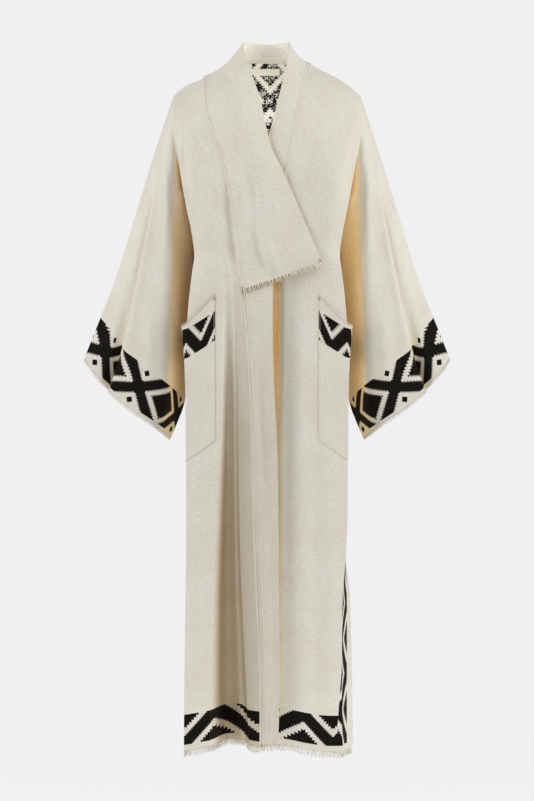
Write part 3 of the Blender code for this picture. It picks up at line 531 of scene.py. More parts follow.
def full_side(start, end, side, share):
    """Find a point between two others, on a side that is a little full."""
    point = blend(start, end, share)
    point[0] += side * SIDE_FULLNESS * np.linalg.norm(end - start) * np.sin(np.pi * share)
    return point


def side_points(fold, edge, side):
    """Run from the side fold back to the edge, which curls out where it stands past the fold."""
    points = [full_side(fold, edge, side, share) for share in SIDE_SHARES]
    flare = max((edge[0] - fold[0]) * side, 0.0)
    for point, share in zip(points, SIDE_SHARES):
        point[0] += side * flare * (share ** EDGE_CURL - share)
    return points


def pocket_line(middle, fold):
    """Find how far out the column runs that the pocket's inner edge lies on."""
    return max(POCKET_INNER_ACROSS, abs(middle) + LINE_SHARE * (abs(fold) - abs(middle)))


print("rows of a front:", len(front_rows(LEFT, COLLAR_LEFT)))

# %% [markdown]
# The left front is flat with a shallow trough beside the lap. The right front has the garment's
# largest fold: its cloth turns under along one sharp edge and comes back as a soft brow.

# %% Grids of the two fronts
def left_front_grid():
    """Work out the left front: a flat chest, a shallow trough beside the lap, and a rounded side."""
    rows = []
    for r, (middle, fold, edge) in enumerate(front_rows(LEFT, COLLAR_LEFT)):
        line = pocket_line(middle[0], fold[0])
        places = [blend(middle[0], line, share) for share in LEFT_INNER_SHARES]
        places += [blend(line, fold[0], share) for share in OUTER_SHARES]
        front = min(middle[1], fold[1]) - CHEST_FULLNESS * smooth_step(r / CHEST_ROWS)
        row = []
        for place in places:
            share = (place - middle[0]) / (fold[0] - middle[0])
            point = blend(middle, fold, share)
            point[1] = (blend(middle[1], front, 1.0 - (1.0 - share) ** FRONT_ROUND)
                        + (fold[1] - front) * share ** SIDE_TURN)
            distance = place - table_value(TROUGH_LEFT, "across", point[2])
            width = table_value(TROUGH_LEFT, "half_width", point[2])
            point[1] += table_value(TROUGH_LEFT, "depth", point[2]) * np.exp(-(distance / width) ** 2)
            row.append(point)
        rows.append(row + side_points(fold, edge, LEFT))
    return np.array(rows)


def right_front_grid():
    """Work out the right front, with the deep fold beside its band."""
    rows = []
    for middle, fold, edge in front_rows(RIGHT, COLLAR_RIGHT):
        height = middle[2]
        depth = table_value(DEEP_FOLD, "depth", height)
        brow = table_value(DEEP_FOLD, "brow_across", height)
        over = min(table_value(DEEP_FOLD, "edge_across", height), middle[0] - FOLD_LEAST_WIDTH)
        floor = over - FOLD_WALL
        places = [middle[0], blend(middle[0], over, FOLD_STRIP_SHARE), over, floor]
        sinks = list(FOLD_EDGE_SINKS)
        for share, sink in zip(FOLD_SHARES, FOLD_SINKS):
            places.append(blend(floor, brow, share))
            sinks.append(sink)
        line = RIGHT * max(pocket_line(middle[0], fold[0]), abs(brow) + FOLD_LEAST_WIDTH)
        for share in [0.0] + OUTER_SHARES:
            places.append(blend(line, fold[0], share))
            sinks.append(0.0)
        row = []
        for place, sink in zip(places, sinks):
            share = (place - middle[0]) / (fold[0] - middle[0])
            point = blend(middle, fold, share)
            point[1] = middle[1] + (fold[1] - middle[1]) * share ** FRONT_ROUND + depth * sink
            row.append(point)
        rows.append(row + side_points(fold, edge, RIGHT))
    return np.array(rows)


def raise_hem(grid, table):
    """Lift the lowest rows to the hem's own line."""
    keys, values = zip(*table)
    for r, fade in enumerate(HEM_FADE):
        for point in grid[-1 - r]:
            point[2] += fade * smooth_value(keys, values, point[0])


def round_shoulder(grid, side):
    """Lift the first rows onto the rounded shoulder line."""
    start, end = grid[0, 0].copy(), shoulder_point(side)
    for r, fade in enumerate(SHOULDER_FADE):
        for point in grid[r]:
            share = np.clip((point[0] - start[0]) / (end[0] - start[0]), 0.0, 1.0)
            point[2] += fade * shoulder_rise(share)
    grid[0, :, 1] = 0.0


fronts = {RIGHT: right_front_grid(), LEFT: left_front_grid()}
raise_hem(fronts[RIGHT], HEM_RISE_RIGHT)
raise_hem(fronts[LEFT], HEM_RISE_LEFT)
for side in fronts:
    round_shoulder(fronts[side], side)
print("front grids:", fronts[RIGHT].shape[:2], fronts[LEFT].shape[:2])

# %% [markdown]
# The back is one panel. Its top edge follows both shoulders and the low curve of the neckline, and
# below the side seams it stands apart from the fronts, so that the long side slits stay open.

# %% Grid of the back
def back_edge(side, height):
    if height >= SLIT_TOP:
        table = SIDE_RIGHT if side == RIGHT else SIDE_LEFT
        return np.array([table_value(table, "edge_across", height) * side, SIDE_SEAM_DEPTH, height])
    return table_point(BACK_EDGE, "across", "depth", height, side)


def back_point(edge, side, share, middle_height):
    """Find a point of the back, a share of the way from its middle to its edge."""
    corner_share = BACK_SHARES[middle_column + BACK_CORNER_COLUMN]
    depth = table_value(BACK, "depth", middle_height)
    corner = np.array([table_value(BACK, "corner_across", middle_height) * side,
                       table_value(BACK, "corner_depth", middle_height),
                       blend(middle_height, edge[2], BACK_CORNER_FALL)])
    if share <= corner_share:
        way = share / corner_share
        point = blend([0.0, depth, middle_height], corner, way)
        point[1] = depth + (corner[1] - depth) * way ** BACK_ROUND
        return point
    return full_side(corner, edge, side, (share - corner_share) / (1.0 - corner_share))


def back_top_line():
    """Follow the back's top edge: a shoulder, the neckline and the other shoulder."""
    neck_share = BACK_HALF[NECK_COLUMNS - 1]
    line = []
    for share in BACK_SHARES:
        side = RIGHT if share < 0.0 else LEFT
        neck = collar_seam(COLLAR_RIGHT if side == RIGHT else COLLAR_LEFT)[:SHOULDER_STATION + 1]
        if abs(share) <= neck_share:
            line.append(smooth_line(neck, NECK_COLUMNS)[round(abs(share) / neck_share * NECK_COLUMNS)])
        else:
            way = (abs(share) - neck_share) / (1.0 - neck_share)
            point = blend(neck[-1], shoulder_point(side), way)
            point[2] += shoulder_rise(way)
            line.append(point)
    return np.array(line)


def back_grid():
    """Work out the back from its neckline and shoulders to the hem."""
    arms = {side: armhole_line(ARMHOLE_BACK, side, ARMHOLE_BACK_ROWS) for side in (RIGHT, LEFT)}
    rows = []
    for r, height in enumerate([None] * (ARMHOLE_BACK_ROWS + 1) + LOWER_HEIGHTS):
        if height is None:
            edges = {side: arms[side][r] for side in (RIGHT, LEFT)}
            down = (r / ARMHOLE_BACK_ROWS) ** BACK_ROW_POWER
            middle_height = blend(BACK[0].height, UNDERARM_HEIGHT, down)
        else:
            edges = {side: back_edge(side, height) for side in (RIGHT, LEFT)}
            middle_height = height
        row = []
        for share in BACK_SHARES:
            side = RIGHT if share < 0.0 else LEFT
            row.append(back_point(edges[side], side, abs(share), middle_height))
        rows.append(row)
    grid = np.array(rows)
    lift = back_top_line() - grid[0]
    for r in range(int(BACK_LIFT_ROWS)):
        grid[r, 1:-1] += lift[1:-1] * (1.0 - r / BACK_LIFT_ROWS) ** BACK_LIFT_EASE
    return grid


back = back_grid()
print("back grid:", back.shape[:2])

# %% [markdown]
# A sleeve of this cut is a wide straight tube that hangs from a dropped armhole. Its rings are
# slanted: they start on the armhole and end on the cuff, and each one runs over the front from the
# top fold to the ridge, back to the inner fold behind, and up the back again.

# %% Grids of the sleeves
def sleeve_ring(along):
    """Work out one ring of a sleeve: over the front from the top fold, then back behind."""
    columns = dict(zip(SleeveRow._fields, zip(*SLEEVE)))
    value = {name: smooth_value(columns["along"], column, along) for name, column in columns.items()}
    fold, ridge, inner, rear = (np.array([value[place + "_" + way] for way in Point._fields])
                                for place in ("fold", "ridge", "inner", "back"))
    ring = []
    for column in SLEEVE_FRONT:
        point = blend(fold, ridge, column.way)
        swell = np.sin(np.pi * column.way ** SLEEVE_BULGE_SKEW)
        point[0] -= PLEAT_SHIFT * column.pleat
        point[1] += column.pleat * value["pleat"] - swell * value["bulge"]
        point[2] -= swell * value["sag"]
        ring.append(point)
    for c in range(SLEEVE_INNER_COLUMNS + 1):
        ring.append(blend(ridge, inner, c / SLEEVE_INNER_COLUMNS))
    for start, end, ways in ((inner, rear, SLEEVE_BACK_WAYS), (rear, fold, SLEEVE_BACK_WAYS[:-1])):
        for way in ways:
            point = blend(start, end, way)
            point[1] += SLEEVE_BACK_FULLNESS * np.sin(np.pi * way)
            ring.append(point)
    return np.array(ring)


def sleeve_grid(side):
    """Work out a sleeve as rings from the armhole to the cuff."""
    front = armhole_line(ARMHOLE_FRONT, LEFT, ARMHOLE_FRONT_ROWS)
    back = armhole_line(ARMHOLE_BACK, LEFT, ARMHOLE_BACK_ROWS)
    armhole = np.concatenate([front, back[1:-1][::-1]])
    grid = np.array([sleeve_ring(along) for along in SLEEVE_ALONG])
    away = armhole - grid[0]
    for r, along in enumerate(SLEEVE_ALONG):
        grid[r] += away * max(1.0 - along / SLEEVE_EASE, 0.0) ** 2
    grid[:, :, 0] *= side
    return grid


sleeves = {side: sleeve_grid(side) for side in (RIGHT, LEFT)}
print("sleeve grid:", sleeves[LEFT].shape[:2])

# %% [markdown]
# The collar is a broad folded band in two halves. Each half stands up round the neck and then falls
# flat on the chest, with its seam on the neckline and its free edge towards the opening. Below the
# end of the right half, a narrower band goes on down to the hem.

# %% Grids of the collar and the front band
def collar_grid(seam, collar):
    """Work out a collar half: from its seam, across the band, to its free edge."""
    keys = running_length(collar_seam(collar))
    places = running_length(seam)
    places = places * keys[-1] / places[-1]
    free = np.array([[smooth_value(keys, [getattr(row, name) for row in collar], place)
                      for name in ("free_across", "free_depth", "free_height")] for place in places])
    crown = np.array([smooth_value(keys, [row.crown for row in collar], place) for place in places])
    out = unit(np.cross(np.gradient(seam, axis=0), free - seam))
    columns = [blend(seam, free, share) + out * (crown * np.sin(np.pi * share))[:, None]
               for share in BAND_SHARES]
    return np.array(columns).transpose(1, 0, 2)


def front_band_grid(edge):
    """Work out the band from the right front's own middle edge; its top lies under the collar."""
    rows = []
    for point in edge:
        across = table_value(FRONT_BAND, "free_across", point[2])
        free = np.array([across, point[1] - FRONT_BAND_LIFT, point[2]])
        rows.append([blend(point, free, share) for share in FRONT_BAND_SHARES])
    grid = np.array(rows)
    grid[0, :, 1] += FRONT_BAND_RECESS
    grid[0, :, 2] += FRONT_BAND_TUCK + (grid[0, :, 0] - grid[0, 0, 0]) * FRONT_BAND_TOP_SLOPE
    return grid


collar_ends = {RIGHT: COLLAR_END_ROW, LEFT: ARMHOLE_FRONT_ROWS}
collars = {}
for side, table in ((RIGHT, COLLAR_RIGHT), (LEFT, COLLAR_LEFT)):
    neck = [middle_column + int(side) * i for i in range(NECK_COLUMNS + 1)]
    seam = np.concatenate([back[0, neck], fronts[side][1:collar_ends[side] + 1, 0]])
    collars[side] = collar_grid(seam, table)
edge = fronts[RIGHT][COLLAR_END_ROW:, 0].copy()
share = (edge[-2, 2] - FRONT_BAND_END) / (edge[-2, 2] - edge[-1, 2])
edge[-1] = blend(edge[-2], edge[-1], share)
front_band = front_band_grid(edge)
print("collar grids:", collars[RIGHT].shape[:2], collars[LEFT].shape[:2])

# %% [markdown]
# The sections lie 20 to 90 mm apart, which is far too coarse for soft cloth. Subdivision surfaces
# would round them, but they pull away from their points and open the seams. Here a curve is drawn
# through the points instead, first down every column and then across every row, so the fine sheet
# passes through each section and two pieces that share a seam keep the same seam line.

# %% Fine sheets through the sections
SPACING = 5.0
LEAST_SLOPE = 1e-9


def end_slope(slope, beside):
    """Find the slope at an end of a curve, small enough not to overshoot."""
    limit = 3.0 * np.abs(slope)
    return np.clip(1.5 * slope - 0.5 * beside, -limit, limit)


def curve_through(points, steps, closed=False):
    """Draw a smooth curve through points along the first axis, in so many steps for each stretch."""
    count = len(points)
    if closed:
        points = np.concatenate([points[-2:], points, points[:3]])
    lengths = np.maximum(np.linalg.norm(np.diff(points, axis=0), axis=-1, keepdims=True), LEAST_SLOPE)
    slopes = np.diff(points, axis=0) / lengths
    ahead, behind = lengths[1:], lengths[:-1]
    inner = (slopes[:-1] * ahead + slopes[1:] * behind) / (ahead + behind)
    least = np.minimum(np.abs(slopes[:-1]), np.abs(slopes[1:]))
    limit = np.where(slopes[:-1] * slopes[1:] > 0.0, 3.0 * least, least)
    inner = np.clip(inner, -limit, limit)
    first, last = end_slope(slopes[:1], inner[:1]), end_slope(slopes[-1:], inner[-1:])
    tangents = np.concatenate([first, inner, last])
    offset = 2 if closed else 0
    fine = []
    for i in range(count if closed else count - 1):
        a = i + offset
        b = a + 1
        for k in range(steps[i]):
            fine.append(cubic(k / steps[i], points[a], points[b], lengths[a], tangents[a], tangents[b]))
    if not closed:
        fine.append(points[-1])
    return np.array(fine)


def steps_between(grid, axis, closed=False):
    """Choose how many fine steps each stretch of a grid needs."""
    points = np.concatenate([grid, grid[:, :1]], axis=1) if closed else grid
    lengths = np.linalg.norm(np.diff(points, axis=axis), axis=2).mean(axis=1 - axis)
    return [max(1, round(length / SPACING)) for length in lengths]


def fine_sheet(grid, row_steps=None, column_steps=None, closed=False):
    """Draw a fine sheet through a coarse grid."""
    row_steps = row_steps or steps_between(grid, 0, closed)
    column_steps = column_steps or steps_between(grid, 1, closed)
    rows = curve_through(grid, row_steps)
    return curve_through(rows.transpose(1, 0, 2), column_steps, closed).transpose(1, 0, 2)


ARM_FRONT_STEPS = 7
ARM_BACK_STEPS = 9
LOWER_STEPS = [max(1, round((high - low) / SPACING))
               for high, low in zip([UNDERARM_HEIGHT] + LOWER_HEIGHTS, LOWER_HEIGHTS)]
FRONT_STEPS = [ARM_FRONT_STEPS] * ARMHOLE_FRONT_ROWS + LOWER_STEPS
BACK_STEPS = [ARM_BACK_STEPS] * ARMHOLE_BACK_ROWS + LOWER_STEPS

# The bands have their columns closer together beside the seam, where the felled edge is raised
COLLAR_STEPS = [14, 8, 5, 4, 4, 4]
FRONT_BAND_STEPS = [14, 4, 3]

sheets = {"back": fine_sheet(back, row_steps=BACK_STEPS)}
for side, name in ((RIGHT, "right"), (LEFT, "left")):
    sheets["front_" + name] = fine_sheet(fronts[side], row_steps=FRONT_STEPS)
    sheets["collar_" + name] = fine_sheet(collars[side], column_steps=COLLAR_STEPS)
sheets["front_band"] = fine_sheet(front_band, column_steps=FRONT_BAND_STEPS)
print("points of the back:", sheets["back"].shape[0] * sheets["back"].shape[1])

# %% [markdown]
# A sleeve is sewn to the armhole edges of a front and of the back. Its first ring is therefore laid
# exactly on those two edges, and the small difference fades out over the next rings. The ring is
# then turned so that it starts and ends in the inner fold under the arm, out of sight, where the
# real sleeve has its own seam.

# %% Fine sleeves
ARMHOLE_FADE = 10
RIDGE_COLUMN = 8
RIDGE_SPREAD = 10.0
RIDGE_FADE = 20.0
RIDGE_PASSES = 40
RIDGE_PULL = 0.5


def soft_ridge(sleeve):
    """Round the ridge where a sleeve's front turns in, which is a soft roll and not a fold."""
    columns = np.arange(sleeve.shape[1])
    ridge = ARM_FRONT_STEPS * RIDGE_COLUMN
    share = np.exp(-((columns - ridge) / RIDGE_SPREAD) ** 2)[None, :, None]
    share = share * smooth_step(np.arange(len(sleeve)) / RIDGE_FADE)[:, None, None]
    for _ in range(RIDGE_PASSES):
        beside = (np.roll(sleeve, 1, axis=1) + np.roll(sleeve, -1, axis=1)) / 2.0
        sleeve = sleeve + (beside - sleeve) * share * RIDGE_PULL
    return sleeve


def fine_sleeve(side, name):
    """Draw a fine sleeve that starts on the armhole edges of its front and of the back."""
    ring_steps = [ARM_FRONT_STEPS] * ARMHOLE_FRONT_ROWS + [ARM_BACK_STEPS] * ARMHOLE_BACK_ROWS
    sleeve = fine_sheet(sleeves[side], column_steps=ring_steps, closed=True)
    front_edge = sheets["front_" + name][:ARM_FRONT_STEPS * ARMHOLE_FRONT_ROWS + 1, -1]
    back_edge_line = sheets["back"][:ARM_BACK_STEPS * ARMHOLE_BACK_ROWS + 1, -1 if side == LEFT else 0]
    armhole = np.concatenate([front_edge, back_edge_line[::-1][1:-1]])
    sleeve = soft_ridge(sleeve)
    shift = armhole - sleeve[0]
    for r in range(ARMHOLE_FADE):
        sleeve[r] += shift * smooth_step(1.0 - r / ARMHOLE_FADE)
    return np.roll(sleeve, -ARM_FRONT_STEPS * ARMHOLE_FRONT_ROWS, axis=1)


for side, name in ((RIGHT, "right"), (LEFT, "left")):
    sheets["sleeve_" + name] = fine_sleeve(side, name)
print("points of a sleeve:", sheets["sleeve_left"].shape[0] * sheets["sleeve_left"].shape[1])

# %% [markdown]
# Worn cotton hangs in long soft creases. Each one is placed as a trough or a ridge with its
# own length, width and depth. A crease is a path down the garment, and it moves the cloth straight
# in or out by a soft bell shape across that path. Every piece reads the same creases, so a
# crease that crosses a seam goes on unbroken on the other side of it. A width below is the
# half width of the bell, and a depth below zero makes a ridge.

# %% Creases seen from the front
Crease = namedtuple(
    "Crease", "top top_across middle_across bottom bottom_across width depth fade_in fade_out")
CREASES_FRONT = named_rows(Crease, [
    (-60, -187, -181, -245, -168, 8, 9, 0.4, 0.1),
    (-110, -171, -163, -285, -152, 8, 7, 0.4, 0.4),
    (-80, 188, 180, -255, 167, 8, 9, 0.4, 0.1),
    (-120, 174, 164, -290, 150, 8, 7, 0.4, 0.4),
    (10, -84, -76, -34, -68, 7, 5, 0.5, 0.5),
    (-60, -66, -58, -240, -50, 11, 5, 0.4, 0.5),
    (-150, -40, -30, -330, -12, 15, 8, 0.4, 0.5),
    (-190, -84, -74, -430, -58, 11, 7.5, 0.4, 0.3),
    (-250, -34, -20, -440, 4, 14, 5.5, 0.4, 0.4),
    (-300, -14, 2, -420, 22, 11, -6, 0.5, 0.3),
    (-210, 40, 46, -380, 66, 22, 4, 0.4, 0.4),
    (-60, 52, 46, -210, 38, 10, 2.5, 0.4, 0.4),
    (-110, 86, 80, -330, 70, 18, 4, 0.4, 0.5),
    (-130, 132, 124, -430, 116, 18, -5, 0.4, 0.5),
    (-80, -140, -134, -330, -126, 24, 8, 0.5, 0.5),
    (-330, 42, 46, -980, 52, 14, 2, 0.4, 0.5),
    (-420, 70, 66, -1160, 74, 16, -3, 0.3, 0.4),
    (-560, 94, 98, -1354, 92, 15, 3, 0.3, 0),
    (-700, 128, 124, -1354, 130, 13, -2.5, 0.4, 0),
    (-480, -124, -130, -1130, -132, 16, 2.5, 0.4, 0.4),
    (-640, -142, -142, -1354, -146, 12, -2, 0.4, 0),
    (-470, -14, -10, -1000, -4, 9, 4.5, 0.4, 0.5),
    (-640, -22, -4, -1354, 6, 8, -4.5, 0.3, 0.1),
    (-420, -38, -34, -700, -30, 8, 2.5, 0.4, 0.5),
])
print("creases in front:", len(CREASES_FRONT))

# %% [markdown]
# The photograph doesn't show the back or the outer sides. Cloth of this weight hangs the same way
# there: a few long soft folds from the shoulder blades to the hem, and short ones at the armholes.

# %% Creases seen from behind and on the sleeves
CREASES_BACK = named_rows(Crease, [
    (-60, -112, -118, -560, -126, 16, -5, 0.4, 0.5),
    (-150, -64, -70, -1354, -84, 18, -8, 0.3, 0),
    (-260, -34, -30, -1354, -38, 14, 6, 0.4, 0),
    (-110, 6, 0, -900, 4, 16, -4, 0.4, 0.5),
    (-330, 30, 26, -1354, 22, 14, 6, 0.3, 0),
    (-140, 66, 72, -1354, 80, 18, -8, 0.3, 0),
    (-80, 116, 120, -640, 128, 15, -5, 0.4, 0.5),
    (-700, 112, 116, -1354, 120, 12, 5, 0.4, 0),
    (-620, -116, -118, -1354, -122, 12, 5, 0.4, 0),
    (-110, -180, -176, -290, -168, 9, 7, 0.5, 0.2),
    (-100, 182, 176, -300, 168, 9, 7, 0.5, 0.2),
])
CREASES_SLEEVE_FRONT = named_rows(Crease, [
    (-150, 212, 224, -520, 230, 16, 3, 0.4, 0.4),
    (-250, 240, 268, -590, 286, 15, -3, 0.4, 0.2),
    (-140, 200, 204, -430, 206, 10, -2.5, 0.4, 0.5),
    (-360, 264, 286, -640, 304, 12, 3, 0.5, 0.2),
    (-430, 232, 236, -690, 240, 14, -2.5, 0.5, 0.2),
])
CREASES_SLEEVE_BACK = named_rows(Crease, [
    (-140, 214, 232, -560, 262, 17, -6, 0.4, 0.2),
    (-220, 196, 206, -650, 226, 14, 5, 0.4, 0.1),
    (-330, 262, 286, -600, 312, 14, 5, 0.4, 0.1),
])
# The left front falls back beside the lap, so a narrow shadow lies along the band's free edge
CHANNEL = named_rows(Crease, [
    (-330, 19, 18, -800, 21, 7.5, 15, 0.1, 0.7),
    (-380, 18, 18, -1340, 23, 5, 8, 0.1, 0.6),
])
print("creases behind:", len(CREASES_BACK), "and in front of a sleeve:", len(CREASES_SLEEVE_FRONT))

# %% Move the cloth into its creases
CREASE_DEPTH = 1.1
FRONT_TO_BACK = 25.0


def crease_depth(points, creases, mirror=1.0):
    """Add up how far the creases push each point in."""
    across, height = points[..., 0] * mirror, points[..., 2]
    total = np.zeros(across.shape)
    for row in creases:
        way = (row.top - height) / (row.top - row.bottom)
        bend = 4.0 * row.middle_across - 3.0 * row.top_across - row.bottom_across
        turn = 2.0 * row.top_across + 2.0 * row.bottom_across - 4.0 * row.middle_across
        share = np.clip(way, 0.0, 1.0)
        path = row.top_across + bend * share + turn * share ** 2
        fade = smooth_step(way / row.fade_in)
        if row.fade_out > 0.0:
            fade = fade * smooth_step((1.0 - way) / row.fade_out)
        total += CREASE_DEPTH * row.depth * fade * np.exp(-((across - path) / row.width) ** 2)
    return total


def crease(sheet, front, back_creases, mirror=1.0):
    """Press the creases of the front and of the back into a sheet."""
    in_front = smooth_step(0.5 - (sheet[..., 1] - SIDE_SEAM_DEPTH) / (2.0 * FRONT_TO_BACK))
    depth = crease_depth(sheet, front, mirror) * in_front
    depth = depth - crease_depth(sheet, back_creases, mirror) * (1.0 - in_front)
    moved = sheet.copy()
    moved[..., 1] += depth
    return moved


for name in list(sheets):
    sheets[name] = crease(sheets[name], CREASES_FRONT, CREASES_BACK)
sheets["front_left"] = crease(sheets["front_left"], CHANNEL, [])
for mirror, name in ((-1.0, "sleeve_right"), (1.0, "sleeve_left")):
    sheets[name] = crease(sheets[name], CREASES_SLEEVE_FRONT, CREASES_SLEEVE_BACK, mirror)
print("creased pieces:", sorted(sheets))

# %% [markdown]
# A sheet of points isn't cloth yet: it needs a thickness, an inner face and closed rims. The way
# into the cloth is the average direction of the faces round a point. For a panel it points to the
# middle of the body, and for a sleeve to the middle of its ring.

# %% The way into the cloth
CLOTH = 1.6


def safe_unit(vectors):
    return vectors / np.maximum(np.linalg.norm(vectors, axis=-1, keepdims=True), LEAST_SLOPE)


def face_ways(sheet, closed=False):
    """Average the directions of the faces around each point of a sheet."""
    grid = np.concatenate([sheet, sheet[:, :1]], axis=1) if closed else sheet
    faces = safe_unit(np.cross(grid[1:, 1:] - grid[:-1, :-1], grid[:-1, 1:] - grid[1:, :-1]))
    rows, columns = grid.shape[:2]
    ways = np.zeros((rows, columns, 3))
    for r, c in ((0, 0), (0, 1), (1, 0), (1, 1)):
        ways[r:rows - 1 + r, c:columns - 1 + c] += faces
    if closed:
        ways[:, 0] += ways[:, -1]
        ways = ways[:, :-1]
    return safe_unit(ways)


def inward_ways(sheet, closed=False):
    """Find the way into the cloth at every point."""
    ways = face_ways(sheet, closed)
    r, c = sheet.shape[0] // 2, sheet.shape[1] // 2
    middle = sheet[r].mean(axis=0) if closed else np.array([0.0, 0.0, sheet[r, c, 2]])
    return ways * np.sign(np.dot(ways[r, c], middle - sheet[r, c]))


inward = {name: inward_ways(sheet, closed=name.startswith("sleeve")) for name, sheet in sheets.items()}
print("cloth thickness", CLOTH, "mm")

# %% [markdown]
# The bands are set on with felled seams: the turned-in edges are stitched down flat, so a double
# ridge runs along the seam with a groove between its two rows of stitches. It is raised in the
# band's own points, by a profile that is read at each point's distance from the seam.

# %% Felled seams
Fell = namedtuple("Fell", "from_seam rise")
FELL = named_rows(Fell, [
    (0, 0.2),
    (1.2, 1.5),
    (3.4, 1.3),
    (4.6, -0.3),
    (5.8, 1.2),
    (8, 1),
    (9.6, -0.2),
    (11, 0),
])
FELL_SHARES = {"collar_right": 1.0, "collar_left": 0.6, "front_band": 0.9}

for name, share in FELL_SHARES.items():
    sheet = sheets[name]
    from_seam = np.cumsum(np.linalg.norm(np.diff(sheet, axis=1, prepend=sheet[:, :1]), axis=2), axis=1)
    rise = np.interp(from_seam, *zip(*FELL)) * share
    sheets[name] = sheet - inward[name] * rise[..., None]
    print(name, "is raised up to", round(float(rise.max()), 1), "mm beside its seam")

# %% [markdown]
# A pocket is a patch that lies on a front and follows every bend of it, so it is made from the
# front's own fine points, moved out by a layer of cloth. Its sewn edges lie close to the front. Its
# slanted top stands off a little, because hands have pulled it open, and its corner sticks out
# past the body's side.

# %% Pockets laid on the fronts
POCKET_GAP = 0.3
POCKET_CLOTH = 0.9
POCKET_ROWS = 60


def at_heights(lines, heights):
    """Read a front's columns at given heights, one height for each column."""
    read = []
    for column, height in enumerate(heights):
        line = lines[:, column]
        read.append([np.interp(-height, -line[:, 2], line[:, axis]) for axis in range(3)])
    return np.array(read)


def pocket_sheet(name, side):
    """Lay a pocket on its front: one row of the front's points after another, moved out."""
    sheet, outward = sheets["front_" + name], -inward["front_" + name]
    first = len(fronts[side][0]) - 1 - len(SIDE_SHARES) - len(OUTER_SHARES)
    steps = steps_between(fronts[side], 1)
    columns = slice(sum(steps[:first]), sum(steps[:-1]) + 1)
    fold = sum(steps[first:first + len(OUTER_SHARES)])
    level = int(np.argmin(np.abs(sheet[:, -1, 2] - POCKET_BOTTOM)))
    reach = running_length(sheet[level, columns])
    fall = np.minimum(reach, reach[fold]) + np.maximum(reach - reach[fold], 0.0) * POCKET_SIDE_SHARE
    top, bottom = POCKET_TOP - fall * POCKET_TOP_SLOPE, POCKET_BOTTOM - fall * POCKET_BOTTOM_SLOPE
    ways_at_heights = np.concatenate([outward[:, columns, :2], sheet[:, columns, 2:]], axis=2)
    rows = []
    for r in range(POCKET_ROWS + 1):
        down = r / POCKET_ROWS
        heights = blend(top, bottom, down)
        points = at_heights(sheet[:, columns], heights)
        ways = unit(at_heights(ways_at_heights, heights) * (1.0, 1.0, 0.0))
        gape = POCKET_GAPE * (1.0 - down) ** POCKET_GAPE_POWER * np.sin(np.pi * reach / reach[-1])
        off = POCKET_GAP + POCKET_CLOTH + gape
        rows.append(points + ways * off[:, None])
    return np.array(rows)


for name, side in (("right", RIGHT), ("left", LEFT)):
    sheets["pocket_" + name] = pocket_sheet(name, side)
    inward["pocket_" + name] = inward_ways(sheets["pocket_" + name])
print("points of a pocket:", sheets["pocket_left"].shape[0] * sheets["pocket_left"].shape[1])

# %% [markdown]
# The bare label is a short tape on the inside of the back, just below the neck seam.

# %% Label on the inside of the neck
LABEL_COLUMNS = 12


def label_sheet():
    """Lay the label on the back's inner face."""
    sheet, ways = sheets["back"], inward["back"]
    centre = sheet.shape[1] // 2
    rows = []
    for height in (LABEL_TOP, (LABEL_TOP + LABEL_BOTTOM) / 2.0, LABEL_BOTTOM):
        r = int(np.argmin(np.abs(sheet[:, centre, 2] - height)))
        row = []
        for across in np.linspace(-LABEL_WIDTH / 2.0, LABEL_WIDTH / 2.0, LABEL_COLUMNS + 1):
            place = [np.interp(across, sheet[r, :, 0], sheet[r, :, axis]) for axis in (0, 1)]
            way = unit(np.array([np.interp(across, sheet[r, :, 0], ways[r, :, axis]) for axis in range(3)]))
            row.append(np.array([*place, height]) + way * (CLOTH + POCKET_GAP + LABEL_THICKNESS))
        rows.append(row)
    return np.array(rows)


sheets["neck_label"] = label_sheet()
inward["neck_label"] = -inward_ways(sheets["neck_label"])
print("label from", LABEL_TOP, "down to", LABEL_BOTTOM)

# %% [markdown]
# The looks are worked out by plain formulas, in millimetres of cloth. Each sheet carries its own
# measures as map layers: one for the weave, one for the border along its hem or cuff, and one for
# the slit. A border then keeps its true size wherever the cloth bends, which a flat projection
# couldn't do. The small class below lets those formulas be written as ordinary arithmetic.

# %% Formulas made of math nodes
MM_PER_METRE = 1000.0


class Formula:
    """A number that changes over the surface, built from math nodes by ordinary arithmetic."""

    def __init__(self, tree, socket):
        self.tree, self.socket = tree, socket

    def math(self, operation, *others):
        node = self.tree.nodes.new("ShaderNodeMath")
        node.operation = operation
        for place, value in enumerate((self,) + others):
            if isinstance(value, Formula):
                self.tree.links.new(value.socket, node.inputs[place])
            else:
                node.inputs[place].default_value = value
        return Formula(self.tree, node.outputs[0])

    def __add__(self, other):
        return self.math("ADD", other)

    def __sub__(self, other):
        return self.math("SUBTRACT", other)

    def __mul__(self, other):
        return self.math("MULTIPLY", other)

    def __lt__(self, other):
        return self.math("LESS_THAN", other)

    def __gt__(self, other):
        return self.math("GREATER_THAN", other)

    def __abs__(self):
        return self.math("ABSOLUTE")

    def floor(self):
        return self.math("FLOOR")

    def larger(self, other):
        return self.math("MAXIMUM", other)

    def ramp(self, low, high, strength=1.0):
        """Go from 0 at low to a strength at high, which may be the smaller of the two."""
        share = ((self - low) * (1.0 / (high - low))).math("MINIMUM", 1.0).math("MAXIMUM", 0.0)
        return share if strength == 1.0 else share * strength


def map_layer(tree, layer):
    """Read the two measures of a map layer, in millimetres."""
    source = tree.nodes.new("ShaderNodeUVMap")
    source.uv_map = layer
    split = tree.nodes.new("ShaderNodeSeparateXYZ")
    tree.links.new(source.outputs[0], split.inputs[0])
    return tuple(Formula(tree, split.outputs[k]) * MM_PER_METRE for k in (0, 1))


